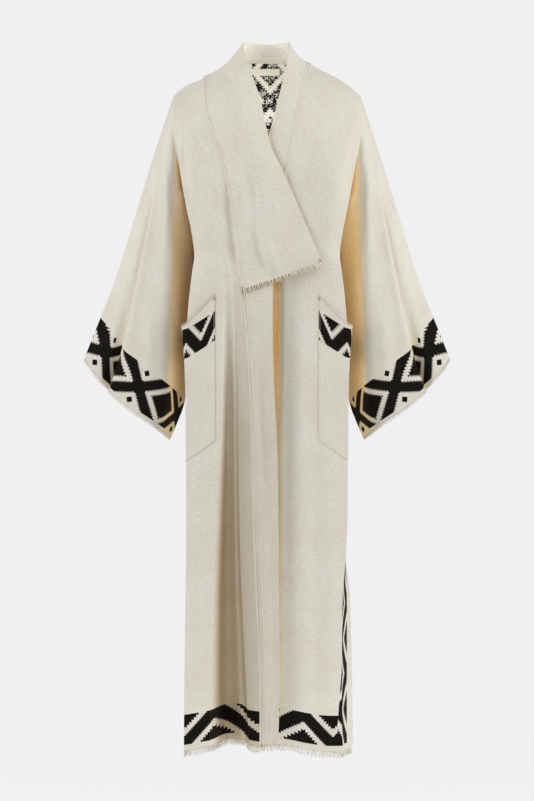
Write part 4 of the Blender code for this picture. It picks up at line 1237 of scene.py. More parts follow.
def noise(tree, place, scale, detail):
    """Make smooth noise over a place."""
    node = tree.nodes.new("ShaderNodeTexNoise")
    node.inputs["Scale"].default_value = scale
    node.inputs["Detail"].default_value = detail
    tree.links.new(place, node.inputs["Vector"])
    return Formula(tree, node.outputs[0])


# Noise over the cloth's own measures: its scales across and along for each millimetre, and its detail
Grain = namedtuple("Grain", "across along detail")


def cloth_noise(tree, across, along, grain):
    join = tree.nodes.new("ShaderNodeCombineXYZ")
    tree.links.new((across * grain.across).socket, join.inputs[0])
    tree.links.new((along * grain.along).socket, join.inputs[1])
    return noise(tree, join.outputs[0], 1.0, grain.detail)


print("formula helper ready")

# %% [markdown]
# The borders are woven in with a thick black weft over counted threads, so every slanted edge is a
# row of small steps. They are a traditional kind of geometry: a zigzag bar with triangles on both
# sides along the hem, and a lattice of crosses, diamonds and dots round the cuffs and down the back.
# Each formula folds the cloth's own measure at every repeat and compares it with straight lines,
# snapped to the weaver's steps.

# %% Woven borders
Zigzag = namedtuple("Zigzag", "repeat band_height bar_middle bar_swing bar_half_width triangle_gap")
HEM_ZIGZAG = Zigzag(120.0, 60.0, 30.0, 28.0, 16.0, 30.0)
SLIT_ZIGZAG = Zigzag(141.0, 58.0, 29.0, 27.0, 15.5, 30.0)
POCKET_ZIGZAG = Zigzag(88.0, 43.0, 25.4, 18.8, 13.5, 24.2)
BAR_STEP = 3.4
BAR_STEP_SHARE = 1.25
BLOCK_STEP = 4.6
BLOCK_STEP_SHARE = 1.5

Lattice = namedtuple("Lattice", "repeat half_height slope bar_half_width core_reach dot_place dot_reach")
CUFF_LATTICE = Lattice(142.0, 40.0, 0.8, 13.5, 31.0, 32.0, 7.5)
BACK_LATTICE = Lattice(124.0, 38.0, 0.86, 11.5, 28.0, 35.0, 6.5)


def folded(measure, repeat):
    """Fold a measure at every repeat: 0 at a centre and half a repeat between two centres."""
    turns = measure * (1.0 / repeat) + 0.5
    return abs(turns - turns.floor() - 0.5) * repeat


def stepped(value, step, share):
    """Snap a value to the weaver's steps."""
    middle = ((value * (1.0 / step)).floor() + 0.5) * step
    return value + (middle - value) * share


def inside_band(height, top):
    return (height > 0.0) * (height < top)


def zigzag(along, height, rule):
    """Work out the black of a zigzag border from the measures along and up from its foot."""
    place = folded(along, rule.repeat)
    swing = rule.bar_swing * 4.0 / rule.repeat
    high = rule.bar_middle + rule.bar_swing
    bar_line = stepped(place, BAR_STEP, BAR_STEP_SHARE) * -swing + high
    block_line = stepped(place, BLOCK_STEP, BLOCK_STEP_SHARE) * -swing + high
    bar = abs(bar_line - height) < rule.bar_half_width
    below = (block_line - height) > rule.triangle_gap
    above = (height - block_line) > rule.triangle_gap
    return bar.larger(below).larger(above) * inside_band(height, rule.band_height)


def lattice(along, from_middle, rule):
    """Work out the black of a lattice border from the measures along and away from its middle."""
    place, high = folded(along, rule.repeat), abs(from_middle)
    block = stepped(place, BLOCK_STEP, BLOCK_STEP_SHARE)
    bars = abs(high - block * rule.slope) < rule.bar_half_width
    far = (block * -1.0 + rule.repeat / 2.0) * rule.slope
    core = (far + high) < rule.core_reach
    dots = (place + abs(high - rule.dot_place)) < rule.dot_reach
    return (bars.larger(core) * (high < rule.half_height)).larger(dots)


for rule in (HEM_ZIGZAG, SLIT_ZIGZAG, POCKET_ZIGZAG, CUFF_LATTICE, BACK_LATTICE):
    print(type(rule).__name__, "with a repeat of", rule.repeat, "mm")

# %% [markdown]
# The ground is heavy undyed cotton in a plain weave, warm off-white, with thicker slubs and brown
# flecks of seed coat. Its surface is dull with a faint fuzz that catches light at grazing angles.
# In deep recesses the light has bounced from cloth to cloth, so it turns warm and brown. That is
# painted into the colour as a warm shade, by a measure of how closed-in a place is, which doesn't
# depend on where the camera stands. Two stretches also get a painted shade of their own: a soft
# shade on the strip between the deep fold and the band, and a warm shade in the narrow channel of
# the left front that lies beside the band's edge.

# %% Cotton
CREAM = (0.700, 0.662, 0.572)
CREAM_PALE = (0.735, 0.708, 0.632)
CREAM_BRIGHT = (0.800, 0.775, 0.705)
SLUB = (0.600, 0.535, 0.430)
FLECK = (0.330, 0.235, 0.140)
BLACK = (0.0045, 0.0038, 0.0028)
BLACK_WORN = (0.042, 0.036, 0.028)
# Painted shades: warm in recesses and in the channel, dark in the deep fold, soft on the strip
SHADE = (1.50, 1.28, 0.92)
SHADE_DISTANCE = 0.15
NARROW_SHADE = (1.10, 0.90, 0.64)
NARROW_DISTANCE = 0.03
DEEP_SHADE = (0.47, 0.385, 0.295)
DEEP_DISTANCE = 0.075
STRIP_SHADE = (0.66, 0.61, 0.54)
THREAD = 0.9
RIB = 2.1
WEAVE_RELIEF = 0.00022

# Shares of that relief: the holes between threads, thick threads, and the raised and ribbed border
HOLE_SHARE = -1.4
SLUB_SHARE = 1.2
BORDER_SHARE = 0.35
RIB_SHARE = 0.6
RIB_RUB = 0.12

# How much of the back's lattice is gone on its reverse, and how fine and patchy wear share it
BACK_WEAR = 0.455
FINE_SHARE = 0.6
PATCHY_SHARE = 0.4

# The grains of the cloth: its clouds, thick threads and flecks, and the wear of the black weft
CLOUDS = Grain(0.012, 0.012, 2.0)
STREAKS = Grain(0.55, 0.02, 3.0)
CROSS_STREAKS = Grain(0.02, 0.55, 3.0)
CROSS_SLUBS = Grain(0.09, 0.4, 2.0)
FLECKS = Grain(0.22, 0.5, 1.0)
RUBS = Grain(0.9, 0.25, 2.0)
FINE_WEAR = Grain(0.45, 0.3, 2.0)
PATCHY_WEAR = Grain(0.07, 0.07, 1.0)

# Where each grain or shade begins to show, where it shows most, and how strongly it shows there
CLOUD_RAMP = (0.35, 0.65)
STREAK_RAMP = (0.52, 0.76, 0.5)
SLUB_RAMP = (0.5, 0.7, 0.4)
BRIGHT_RAMP = (0.45, 0.25, 0.5)
FLECK_RAMP = (0.74, 0.8, 0.7)
RUB_RAMP = (0.56, 0.78)
SHADE_RAMP = (0.3, 0.85)
NARROW_RAMP = (0.45, 0.9)
DEEP_RAMP = (0.15, 0.75)


def mix(tree, share, first, second, blend_type="MIX"):
    """Mix two colours by a share; each is a socket or a fixed colour."""
    node = tree.nodes.new("ShaderNodeMix")
    node.data_type = "RGBA"
    node.blend_type = blend_type
    sockets = {socket.identifier: socket for socket in node.inputs}
    for name, value in (("Factor_Float", share), ("A_Color", first), ("B_Color", second)):
        if isinstance(value, Formula):
            tree.links.new(value.socket, sockets[name])
        elif isinstance(value, bpy.types.NodeSocket):
            tree.links.new(value, sockets[name])
        elif isinstance(value, tuple):
            sockets[name].default_value = (*value, 1.0)
        else:
            sockets[name].default_value = value
    return next(socket for socket in node.outputs if socket.identifier == "Result_Color")


def closeness(tree, distance):
    """Measure how closed-in each place is, from 0 in the open to 1 in a gap."""
    node = tree.nodes.new("ShaderNodeAmbientOcclusion")
    node.inputs["Distance"].default_value = distance
    node.samples = 6
    return Formula(tree, node.outputs["AO"]) * -1.0 + 1.0


def ground(tree, across, along):
    """Work out the colour of the undyed ground, and where its thick threads lie."""
    clouds, streaks, cross_streaks, cross_slubs, flecks = (
        cloth_noise(tree, across, along, grain)
        for grain in (CLOUDS, STREAKS, CROSS_STREAKS, CROSS_SLUBS, FLECKS))
    slubs = streaks.larger(cross_streaks).ramp(*STREAK_RAMP)
    colour = mix(tree, clouds.ramp(*CLOUD_RAMP), CREAM, CREAM_PALE)
    for share, tone in ((slubs, SLUB), (cross_slubs.ramp(*SLUB_RAMP), SLUB),
                        (cross_slubs.ramp(*BRIGHT_RAMP), CREAM_BRIGHT), (flecks.ramp(*FLECK_RAMP), FLECK)):
        colour = mix(tree, share, colour, tone)
    return colour, slubs


def black_weft(tree, across, along):
    """Work out the colour of a border's black weft, paler where it is rubbed, and its ribs."""
    ribs = folded(along, RIB) * RIB_SHARE
    rubbed = cloth_noise(tree, across, along, RUBS) + ribs * RIB_RUB
    return mix(tree, rubbed.ramp(*RUB_RAMP), BLACK, BLACK_WORN), ribs


def finish_surface(tree, colour, relief, relief_strength, roughness, gloss, sheen):
    """Give a finish its colour, its fine relief and its even values."""
    shader = tree.nodes["Principled BSDF"]
    tree.links.new(colour, shader.inputs["Base Color"])
    bump = tree.nodes.new("ShaderNodeBump")
    bump.inputs["Strength"].default_value = relief_strength
    bump.inputs["Distance"].default_value = WEAVE_RELIEF
    tree.links.new(relief.socket, bump.inputs["Height"])
    tree.links.new(bump.outputs[0], shader.inputs["Normal"])
    shader.inputs["Roughness"].default_value = roughness
    shader.inputs["Specular IOR Level"].default_value = gloss
    shader.inputs["Sheen Weight"].default_value = sheen
    shader.inputs["Sheen Roughness"].default_value = 0.5


def cotton(name, black=None, worn=0.0, recess_shaded=True, painted_shade=False, channel=False):
    """Make the cotton, with the black of a border where a pattern is given."""
    material = bpy.data.materials.new(name)
    material.use_nodes = True
    tree = material.node_tree
    across, along = map_layer(tree, "weave")
    colour, slubs = ground(tree, across, along)
    warp = abs(folded(across, THREAD) * (2.0 / THREAD) - 0.5)
    weft = abs(folded(along, THREAD) * (2.0 / THREAD) - 0.5)
    relief = warp * weft * HOLE_SHARE + slubs * SLUB_SHARE
    if black:
        pattern = black(tree)
        if worn:
            fine, patchy = (cloth_noise(tree, across, along, grain) for grain in (FINE_WEAR, PATCHY_WEAR))
            pattern = pattern * ((fine * FINE_SHARE + patchy * PATCHY_SHARE) > worn)
        dark, ribs = black_weft(tree, across, along)
        colour = mix(tree, pattern, colour, dark)
        relief = relief + pattern * (ribs + BORDER_SHARE)

    # Painted warm shade and bounced light in recesses, by how closed-in each place is
    if recess_shaded:
        colour = mix(tree, closeness(tree, SHADE_DISTANCE).ramp(*SHADE_RAMP), colour, SHADE, "MULTIPLY")
    # Painted warm shade in the narrow channel of the left front beside the band's edge
    if channel:
        beside, lower = map_layer(tree, "strip")
        narrow = closeness(tree, NARROW_DISTANCE).ramp(*NARROW_RAMP) * beside * lower
        colour = mix(tree, narrow, colour, NARROW_SHADE, "MULTIPLY")
    # Painted shade: dark in the deep fold by how closed-in it is, and soft on the strip and the band
    if painted_shade:
        deep = closeness(tree, DEEP_DISTANCE).ramp(*DEEP_RAMP)
        colour = mix(tree, deep, colour, DEEP_SHADE, "MULTIPLY")
        strip, lower = map_layer(tree, "strip")
        colour = mix(tree, strip * lower, colour, STRIP_SHADE, "MULTIPLY")
    finish_surface(tree, colour, relief, relief_strength=0.55, roughness=0.88, gloss=0.06, sheen=0.03)
    return material


print("cotton ready")

# %% [markdown]
# Each kind of piece has its own border: zigzags at the hem, the slits and the pocket tops, lattices
# at the cuffs and down the back. Inside the garment the plain ground shows, with the back
# lattice as the speckled reverse of its weave. A centre below says where a border starts its repeat,
# measured along that border.

# %% Cotton for each kind of piece
HEM_FOOT = 11.0
CUFF_MIDDLE = 45.0
POCKET_FOOT = 14.0
SLIT_FOOT = 23.0
SLIT_CENTRE = 103.0
BACK_BAND_TOP = 1.0
BACK_CENTRE = 80.0

# The rows of a pocket's border lean less than its slanted top, and its columns stand upright
POCKET_GRAIN = 0.74
POCKET_LEAN = 0.2


def hem_border(centre):
    def black(tree):
        along, up = map_layer(tree, "border")
        down_slit, inward_from_slit = map_layer(tree, "slit")
        hem = zigzag(along - centre, up - HEM_FOOT, HEM_ZIGZAG)
        hem = hem * (inward_from_slit > SLIT_FOOT + SLIT_ZIGZAG.band_height)
        slit = zigzag(down_slit - SLIT_CENTRE, inward_from_slit - SLIT_FOOT, SLIT_ZIGZAG)
        return hem.larger(slit * (down_slit > 0.0) * (up > HEM_FOOT))
    return black


def cuff_border(centre):
    def black(tree):
        along, up = map_layer(tree, "border")
        return lattice(along - centre, up - CUFF_MIDDLE, CUFF_LATTICE)
    return black


def pocket_border(centre):
    def black(tree):
        along, down = map_layer(tree, "border")
        place = along - centre
        return zigzag(place, down * POCKET_GRAIN + place * POCKET_LEAN - POCKET_FOOT, POCKET_ZIGZAG)
    return black


def back_inside(tree):
    across, down = map_layer(tree, "weave")
    return lattice(down - BACK_CENTRE, across, BACK_LATTICE) * (down > BACK_BAND_TOP)


def back_outside(centre):
    def black(tree):
        along, up = map_layer(tree, "border")
        clear = up > HEM_FOOT + HEM_ZIGZAG.band_height + SLIT_FOOT
        return (back_inside(tree) * clear).larger(hem_border(centre)(tree))
    return black


print("cuff border starts", CUFF_MIDDLE - CUFF_LATTICE.half_height, "mm above the edge")

# %% [markdown]
# The label is a finer, yellower tape, and the loose threads are the cotton's own yarn. Both are too
# small for a weave, so fine streaks of noise stand for their fibres.

# %% Label tape and yarn
STREAK_DARKNESS = 0.72
FIBRE_RAMP = (0.4, 0.7)


def plain_thread(name, colour, roughness, scale):
    """Make a thread or tape finish with fine streaks along the fibre."""
    material = bpy.data.materials.new(name)
    material.use_nodes = True
    tree = material.node_tree
    place = tree.nodes.new("ShaderNodeNewGeometry")
    streak = noise(tree, place.outputs["Position"], scale, 3.0)
    darker = tuple(value * STREAK_DARKNESS for value in colour)
    streaked = mix(tree, streak.ramp(*FIBRE_RAMP), colour, darker)
    finish_surface(tree, streaked, streak, relief_strength=0.4, roughness=roughness, gloss=0.2, sheen=0.2)
    return material


yarn = plain_thread("cotton_yarn", (0.88, 0.83, 0.72), 0.9, 900.0)
tape = plain_thread("label_tape", (0.76, 0.72, 0.60), 0.75, 1400.0)
print("threads:", yarn.name, tape.name)

# %% [markdown]
# Each sheet of points now becomes a thin closed shell: an outer face, an inner face and rims. The
# two faces take separate materials, because the reverse of a woven border looks different.

# %% Cloth shells
SHARP_RIM = np.radians(60.0)


def lengths_along(points, axis):
    """Measure how far each point lies along its row or column."""
    steps = np.linalg.norm(np.diff(points, axis=axis), axis=2)
    first = np.zeros((1, points.shape[1]) if axis == 0 else (points.shape[0], 1))
    return np.concatenate([first, np.cumsum(steps, axis=axis)], axis=axis)


def cloth_shell(name, sheet, ways, materials, layers, closed=False, thickness=CLOTH):
    """Make a thin closed shell of cloth with its map layers."""
    rows, columns = sheet.shape[:2]
    vertices = np.concatenate([sheet, sheet + ways * thickness]).reshape(-1, 3)
    inner = rows * columns
    spans = columns if closed else columns - 1
    r, c = (grid.ravel() for grid in np.meshgrid(range(rows - 1), range(spans), indexing="ij"))
    corners = [(r, c), (r, c + 1), (r + 1, c + 1), (r + 1, c)]
    outer = np.stack([a * columns + b % columns for a, b in corners], axis=1)
    maps = np.stack([a * (spans + 1) + b for a, b in corners], axis=1)
    a, b, d = (vertices[outer[:, k]] for k in (0, 1, 3))
    out = -np.sum(np.cross(b - a, d - a) * ways.reshape(-1, 3)[outer[:, 0]])
    faces, face_maps = [outer, outer[:, ::-1] + inner], [maps, maps[:, ::-1]]
    for near, far, near_map, far_map in rims(rows, columns, spans, closed):
        faces.append(np.stack([near, near + inner, far + inner, far], axis=1))
        face_maps.append(np.stack([near_map, near_map, far_map, far_map], axis=1))
    if out < 0.0:
        faces, face_maps = [part[:, ::-1] for part in faces], [part[:, ::-1] for part in face_maps]
    kinds = np.concatenate([np.full(len(part), int(k == 1)) for k, part in enumerate(faces)])
    faces, face_maps = np.concatenate(faces), np.concatenate(face_maps)

    mesh = bpy.data.meshes.new(name)
    mesh.from_pydata((vertices * METRE_PER_MM).tolist(), [], faces.tolist())
    for layer, values in layers.items():
        corner_values = np.asarray(values, float).reshape(-1, 2)[face_maps.ravel()] * METRE_PER_MM
        mesh.uv_layers.new(name=layer).data.foreach_set("uv", corner_values.ravel())
    for material in materials:
        mesh.materials.append(material)
    mesh.polygons.foreach_set("material_index", kinds * (len(materials) - 1))
    mesh.shade_smooth()
    mesh.set_sharp_from_angle(angle=SHARP_RIM)
    mesh.update()
    piece = bpy.data.objects.new(name, mesh)
    bpy.context.scene.collection.objects.link(piece)
    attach(piece, "root")
    return piece


def rims(rows, columns, spans, closed):
    """List the edges of a sheet as pairs of point numbers and pairs of map numbers."""
    wide = spans + 1
    c = np.arange(spans)
    last = rows - 1
    yield c, (c + 1) % columns, c, c + 1
    yield last * columns + (c + 1) % columns, last * columns + c, last * wide + c + 1, last * wide + c
    if not closed:
        r = np.arange(last)
        s = r + 1
        yield s * columns, r * columns, s * wide, r * wide
        yield r * columns + spans, s * columns + spans, r * wide + spans, s * wide + spans


def pair(first, second):
    return np.stack(np.broadcast_arrays(first, second), axis=-1)


def cloth_piece(name, faces, layers, closed=False, thickness=CLOTH):
    """Make one cloth piece from its sheet, in place of its solid."""
    piece = cloth_shell("cloth_" + name, sheets[name], inward[name], faces, layers, closed, thickness)
    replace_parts(piece, name)


print("sheets to make into cloth:", len(sheets))

# %% [markdown]
# A back or a front is measured three ways: down and across for its weave, along and up from the
# hem for the border, and along the slit and in from its edge.

# %% The body: back and two fronts
# Between a hem's peak and the middle of the body its pattern is drawn out
HEM_EASE = 0.64

# The painted shades: how dark across the strip and on the band, and where down they begin
STRIP_SHARES = (0.7, 1.2)
BAND_SHARE = 0.36
STRIP_TOP = -330.0
STRIP_LENGTH = 420.0
CHANNEL_SIDE = 60.0
CHANNEL_TOP = -385.0
CHANNEL_LENGTH = 30.0


def nearest(sheet, across, height):
    """Find the row and column of a sheet nearest to a place seen from the front."""
    distance = (sheet[..., 0] - across) ** 2 + (sheet[..., 2] - height) ** 2
    return np.unravel_index(int(np.argmin(distance)), distance.shape)


def down_from(sheet, top, length):
    """Go from 0 at a height to 1 at a length below it."""
    return np.clip((top - sheet[..., 2]) / length, 0.0, 1.0)


def panel_layers(sheet, side_columns, level_columns, peak):
    """Measure a body panel for its weave, its hem and its slits."""
    down, across = lengths_along(sheet, 0), lengths_along(sheet, 1)
    # The weft runs level with the hem, and its places are counted from the neck
    centre = sheet.shape[1] // 2
    weave = pair(across - across[:, [centre]], down - down[-1] + down[-1, centre])
    # The front part of a hem is measured level, as if its folds were pressed flat
    hem = sheet[-1].copy()
    hem[:level_columns, 1] = hem[level_columns, 1]
    steps = np.diff(running_length(hem), prepend=0.0)
    steps[np.abs(hem[:, 0]) < abs(peak)] *= HEM_EASE
    border = pair(np.cumsum(steps)[None, :], down[-1] - down)
    slit_down, slit_in = None, None
    for column in side_columns:
        start = np.interp(-SLIT_TOP, -sheet[:, column, 2], down[:, column])
        this_down = (down[:, column] - start)[:, None] + np.zeros_like(across)
        this_in = np.abs(across - across[:, [column]])
        if slit_in is None:
            slit_down, slit_in = this_down, this_in
        else:
            slit_down = np.where(this_in < slit_in, this_down, slit_down)
            slit_in = np.minimum(this_in, slit_in)
    return {"weave": weave, "border": border, "slit": pair(slit_down, slit_in)}


def strip_layer(name, sheet):
    """Measure where a front has a painted shade, across it and down it."""
    if name == "front_left":
        # Beside the band's edge it lies in a narrow channel with a painted warm shade
        return pair(1.0 * (sheet[..., 0] < CHANNEL_SIDE), down_from(sheet, CHANNEL_TOP, CHANNEL_LENGTH))
    # The strip between the band and the fold has a painted soft shade, darker towards the hem
    edge = sum(steps_between(fronts[RIGHT], 1)[:len(FOLD_EDGE_SINKS) - 1])
    column = np.arange(sheet.shape[1])
    in_strip = np.where(column <= edge, blend(*STRIP_SHARES, column / edge), 0.0)
    return pair(in_strip[None, :], down_from(sheet, STRIP_TOP, STRIP_LENGTH))


HEM_PEAKS = {"front_left": (70.0, -1279.0), "front_right": (-104.0, -1275.0), "back": (0.0, -1280.0)}
plain = cotton("cotton_plain")
plain_inside = cotton("cotton_inside", recess_shaded=False)
for name, (across, height) in HEM_PEAKS.items():
    sheet = sheets[name]
    if name == "back":
        layers = panel_layers(sheet, (0, -1), 0, across)
    else:
        steps = steps_between(fronts[RIGHT if name == "front_right" else LEFT], 1)
        layers = panel_layers(sheet, (-1,), sum(steps[:-len(SIDE_SHARES)]), across)
        layers["strip"] = strip_layer(name, sheet)
    r, c = nearest(sheet, across, height)
    centre = float(layers["border"][r, c, 0])
    if name == "back":
        faces = [cotton("cotton_back", back_outside(centre)),
                 cotton("cotton_back_reverse", back_inside, worn=BACK_WEAR, recess_shaded=False)]
    else:
        faces = [cotton("cotton_" + name, hem_border(centre), painted_shade=name == "front_right",
                        channel=name == "front_left"), plain]
    cloth_piece(name, faces, layers)

# %% [markdown]
# A sleeve's border runs round its cuff, measured from the inner fold.

# %% Sleeves
LEAN_SPREAD = 9
LEAN_ROWS = 14


def square_measures(sheet):
    """Measure along a ring's first row and square away from it, as its border was woven."""
    away, edge = lengths_along(sheet, 0), sheet[0]
    lean = np.sum(unit(sheet[LEAN_ROWS] - edge) * unit(np.gradient(edge, axis=0)), axis=1)
    spread = np.ones(2 * LEAN_SPREAD + 1) / (2 * LEAN_SPREAD + 1)
    lean = np.convolve(np.pad(lean, LEAN_SPREAD, mode="wrap"), spread, "valid")
    return pair(running_length(edge) + away * lean, away * np.sqrt(1.0 - lean ** 2))


CUFF_CROSSES = {"sleeve_right": (-256.0, -628.0), "sleeve_left": (256.0, -628.0)}
for name, (across, height) in CUFF_CROSSES.items():
    sheet = sheets[name]
    ring = np.concatenate([sheet, sheet[:, :1]], axis=1)
    down, around = lengths_along(ring, 0), lengths_along(ring, 1)
    layers = {"weave": pair(around, down), "border": square_measures(ring[::-1])[::-1]}
    r, c = nearest(np.where(sheet[..., 1:2] < 0.0, sheet, np.inf), across, height)
    centre = float(layers["border"][r, c, 0])
    cloth_piece(name, [cotton("cotton_" + name, cuff_border(centre)), plain], layers, closed=True)

# %% [markdown]
# The collar halves, the front band, the pockets and the label are plain or have one short border.

# %% Collar, front band, pockets and label
POCKET_CENTRES = {"pocket_right": (-128.0, -526.0), "pocket_left": (128.0, -526.0)}
for name in ("collar_right", "collar_left", "front_band", "pocket_right", "pocket_left", "neck_label"):
    sheet = sheets[name]
    down, across = lengths_along(sheet, 0), lengths_along(sheet, 1)
    layers = {"weave": pair(across, down)}
    faces, thickness, slot = [plain, plain_inside], CLOTH, "cotton"
    if name == "front_band":
        # The band carries the same painted soft shade as the strip, darker towards the hem
        layers["strip"] = pair(BAND_SHARE, down_from(sheet, STRIP_TOP, STRIP_LENGTH))
        faces = [cotton("cotton_front_band", painted_shade=True), plain_inside]
    if name in POCKET_CENTRES:
        layers["border"] = pair(across[0][None, :], down)
        r, c = nearest(sheet, *POCKET_CENTRES[name])
        faces = [cotton("cotton_" + name, pocket_border(float(across[0, c]))), plain]
        thickness = POCKET_CLOTH
    if name == "neck_label":
        faces, thickness, slot = [tape, tape], LABEL_THICKNESS, "label"
    cloth_piece(name, faces, layers, thickness=thickness)

# %% [markdown]
# The cut edges are frayed on purpose: the last crosswise threads are pulled out and the lengthwise
# ones hang free, a few millimetres long, no two alike. Each thread is a thin curved tube, and the
# threads of one edge are joined to one piece. A fixed seed keeps them the same in every run.

# %% Loose threads
Fringe = namedtuple("Fringe", "pitch radius tip lift lean")
LOOSE = Fringe(0.8, 0.5, 0.28, 0.0, 0.25)
TASSELS = Fringe(3.4, 1.2, 0.9, 2.2, 0.12)
THREAD_POINTS = 4
THREAD_SIDES = 3
THREAD_ROOT = 1.0

# The least and the most of what differs from thread to thread, as shares of the whole
PLACES = (0.1, 0.9)
LENGTHS = (0.75, 1.1)
LAYERS = (0.2, 0.8)
SWING = 0.1
chance = np.random.default_rng(7)


def add_tube(vertices, faces, centres, radii, first_way, second_way):
    """Add a thin tube along some centres, with a cap on each end."""
    base = len(vertices)
    for centre, radius in zip(centres, radii):
        for turn in range(THREAD_SIDES):
            angle = 2.0 * np.pi * turn / THREAD_SIDES
            vertices.append(centre + radius * (first_way * np.cos(angle) + second_way * np.sin(angle)))
    for k in range(len(centres) - 1):
        for turn in range(THREAD_SIDES):
            a, b = base + k * THREAD_SIDES + turn, base + k * THREAD_SIDES + (turn + 1) % THREAD_SIDES
            faces.append((a, b, b + THREAD_SIDES, a + THREAD_SIDES))
    faces.append(tuple(range(base + THREAD_SIDES - 1, base - 1, -1)))
    faces.append(tuple(range(len(vertices) - THREAD_SIDES, len(vertices))))


def thread_piece(name, vertices, faces, material):
    """Join tubes to one piece that rides on the garment."""
    mesh = bpy.data.meshes.new(name)
    mesh.from_pydata((np.array(vertices) * METRE_PER_MM).tolist(), [], faces)
    mesh.materials.append(material)
    mesh.shade_smooth()
    piece = bpy.data.objects.new(name, mesh)
    bpy.context.scene.collection.objects.link(piece)
    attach(piece, "root")
    return piece


def read_line(place, reach, *lines):
    """Read several lines of values at one place along them."""
    return [np.array([np.interp(place, reach, line[:, axis]) for axis in range(3)]) for line in lines]


def threads(place, side, line, length, kind=LOOSE):
    """Hang threads on a line and join them to one piece, in place of the fringe's solid."""
    reach = running_length(line[0])
    shares = np.linspace(0.0, 1.0, THREAD_POINTS)
    vertices, faces = [], []
    for k in range(int(reach[-1] / kind.pitch)):
        root, down, way = read_line((k + chance.uniform(*PLACES)) * kind.pitch, reach, *line)
        down, way = unit(down), unit(way)
        along = np.cross(down, way)
        size = length * chance.uniform(*LENGTHS)
        lean, swing = chance.normal(0.0, kind.lean), chance.normal(0.0, SWING)
        start = root + way * (CLOTH * chance.uniform(*LAYERS) - kind.lift) - down * THREAD_ROOT
        centres = [start + down * (size + THREAD_ROOT) * share
                   + (along * lean - way * swing) * size * share ** 2 for share in shares]
        add_tube(vertices, faces, centres, kind.radius + (kind.tip - kind.radius) * shares, along, way)
    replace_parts(thread_piece("threads_" + place + side, vertices, faces, yarn), place + "_fringe" + side)


def along_and_down(name, place):
    """Give an edge of a sheet, the way off the cloth there, and the way into the cloth."""
    sheet, ways = sheets[name], inward[name]
    edges = {"top": (0, 1), "bottom": (-1, -2)}
    if place in edges:
        edge, beside = edges[place]
        return sheet[edge], unit(sheet[edge] - sheet[beside]), ways[edge]
    column, beside = (-1, -2) if place == "last" else (0, 1)
    rows = sheet[:, column, 2] < SLIT_TOP
    return sheet[rows, column], unit(sheet[rows, column] - sheet[rows, beside]), ways[rows, column]


HEM_DOWN = np.array([[0.0, 0.0, -1.0]])
HEM_SPREAD = 0.2
for name in ("back", "front_right", "front_left"):
    edge, down, ways = along_and_down(name, "bottom")
    threads("hem", "_" + name, (edge, HEM_DOWN + down * HEM_SPREAD, ways), HEM_FRINGE)
for side, name in ((RIGHT, "_right"), (LEFT, "_left")):
    ring = [np.concatenate([line, line[:1]]) for line in along_and_down("sleeve" + name, "bottom")]
    threads("cuff", name, ring, CUFF_FRINGE)
    threads("pocket", name, along_and_down("pocket" + name, "top"), POCKET_FRINGE)
    threads("slit", "_front" + name, along_and_down("front" + name, "last"), SLIT_FRINGE)
    place = "last" if side == LEFT else "first"
    threads("slit", "_back" + name, along_and_down("back", place), SLIT_FRINGE)
threads("collar", "", along_and_down("collar_right", "bottom"), COLLAR_FRINGE, TASSELS)
print("fringed edges done")

# %% [markdown]
# Close up, sewing shows as rows of short stitches. They run in the grooves of the felled seams and
# just inside the pocket's sewn edges. Small bar tacks, sewn back and forth, hold the pocket corners
# and the collar's end, where the cloth would tear first.

# %% Stitches and bar tacks
STITCH_PITCH = 3.6
STITCH_LENGTH = 2.8
STITCH_RADIUS = 0.28
SEAM_ROWS = [4.6, 9.6]
POCKET_SEAM = 3.0

# A stitch bows over the cloth: its shares of length from the middle, and its heights over the cloth
STITCH_BOW = [(-0.5, -0.15), (0.0, 0.2), (0.5, -0.15)]

TACK_THREADS = 4
TACK_PITCH = 0.9
TACK_LENGTH = 7.0
TACK_RADIUS = 0.5
TACKS = {
    "pocket_right_top": ("pocket_right", 0, 0),
    "pocket_left_top": ("pocket_left", 0, 0),
    "collar_seam": ("collar_right", -1, 0),
    "collar_corner": ("collar_right", -1, -1),
}


def stitches(name, line, ways):
    """Lay a row of short stitches on the cloth."""
    reach = running_length(line)
    vertices, faces = [], []
    for place in np.arange(STITCH_PITCH, reach[-1] - STITCH_PITCH, STITCH_PITCH):
        centres = []
        for share, lift in STITCH_BOW:
            point, way = read_line(place + share * STITCH_LENGTH, reach, line, ways)
            centres.append(point - unit(way) * lift)
        aside = unit(np.cross(centres[2] - centres[0], way))
        add_tube(vertices, faces, centres, [STITCH_RADIUS] * 3, aside, unit(way))
    return thread_piece(name, vertices, faces, yarn)


def row_beside(name, distance):
    """Find the line on a piece that runs at a distance from its seam column."""
    sheet, ways = sheets[name], inward[name]
    from_seam = lengths_along(sheet, 1)
    line = [read_line(distance, reach, row)[0] for reach, row in zip(from_seam, sheet)]
    column = int(np.argmin(np.abs(from_seam[len(sheet) // 2] - distance)))
    return np.array(line), ways[:, column]


# The rows of stitches run in the grooves of the felled seams and inside the pockets' sewn edges
for name in FELL_SHARES:
    for k, distance in enumerate(SEAM_ROWS):
        stitches(f"stitches_{name}_{k}", *row_beside(name, distance))
for name in ("pocket_right", "pocket_left"):
    stitches("stitches_" + name + "_side", *row_beside(name, POCKET_SEAM))
    stitches("stitches_" + name + "_bottom", sheets[name][-2], inward[name][-2])
tack_yarn = plain_thread("tack_yarn", (0.62, 0.45, 0.27), 0.9, 900.0)


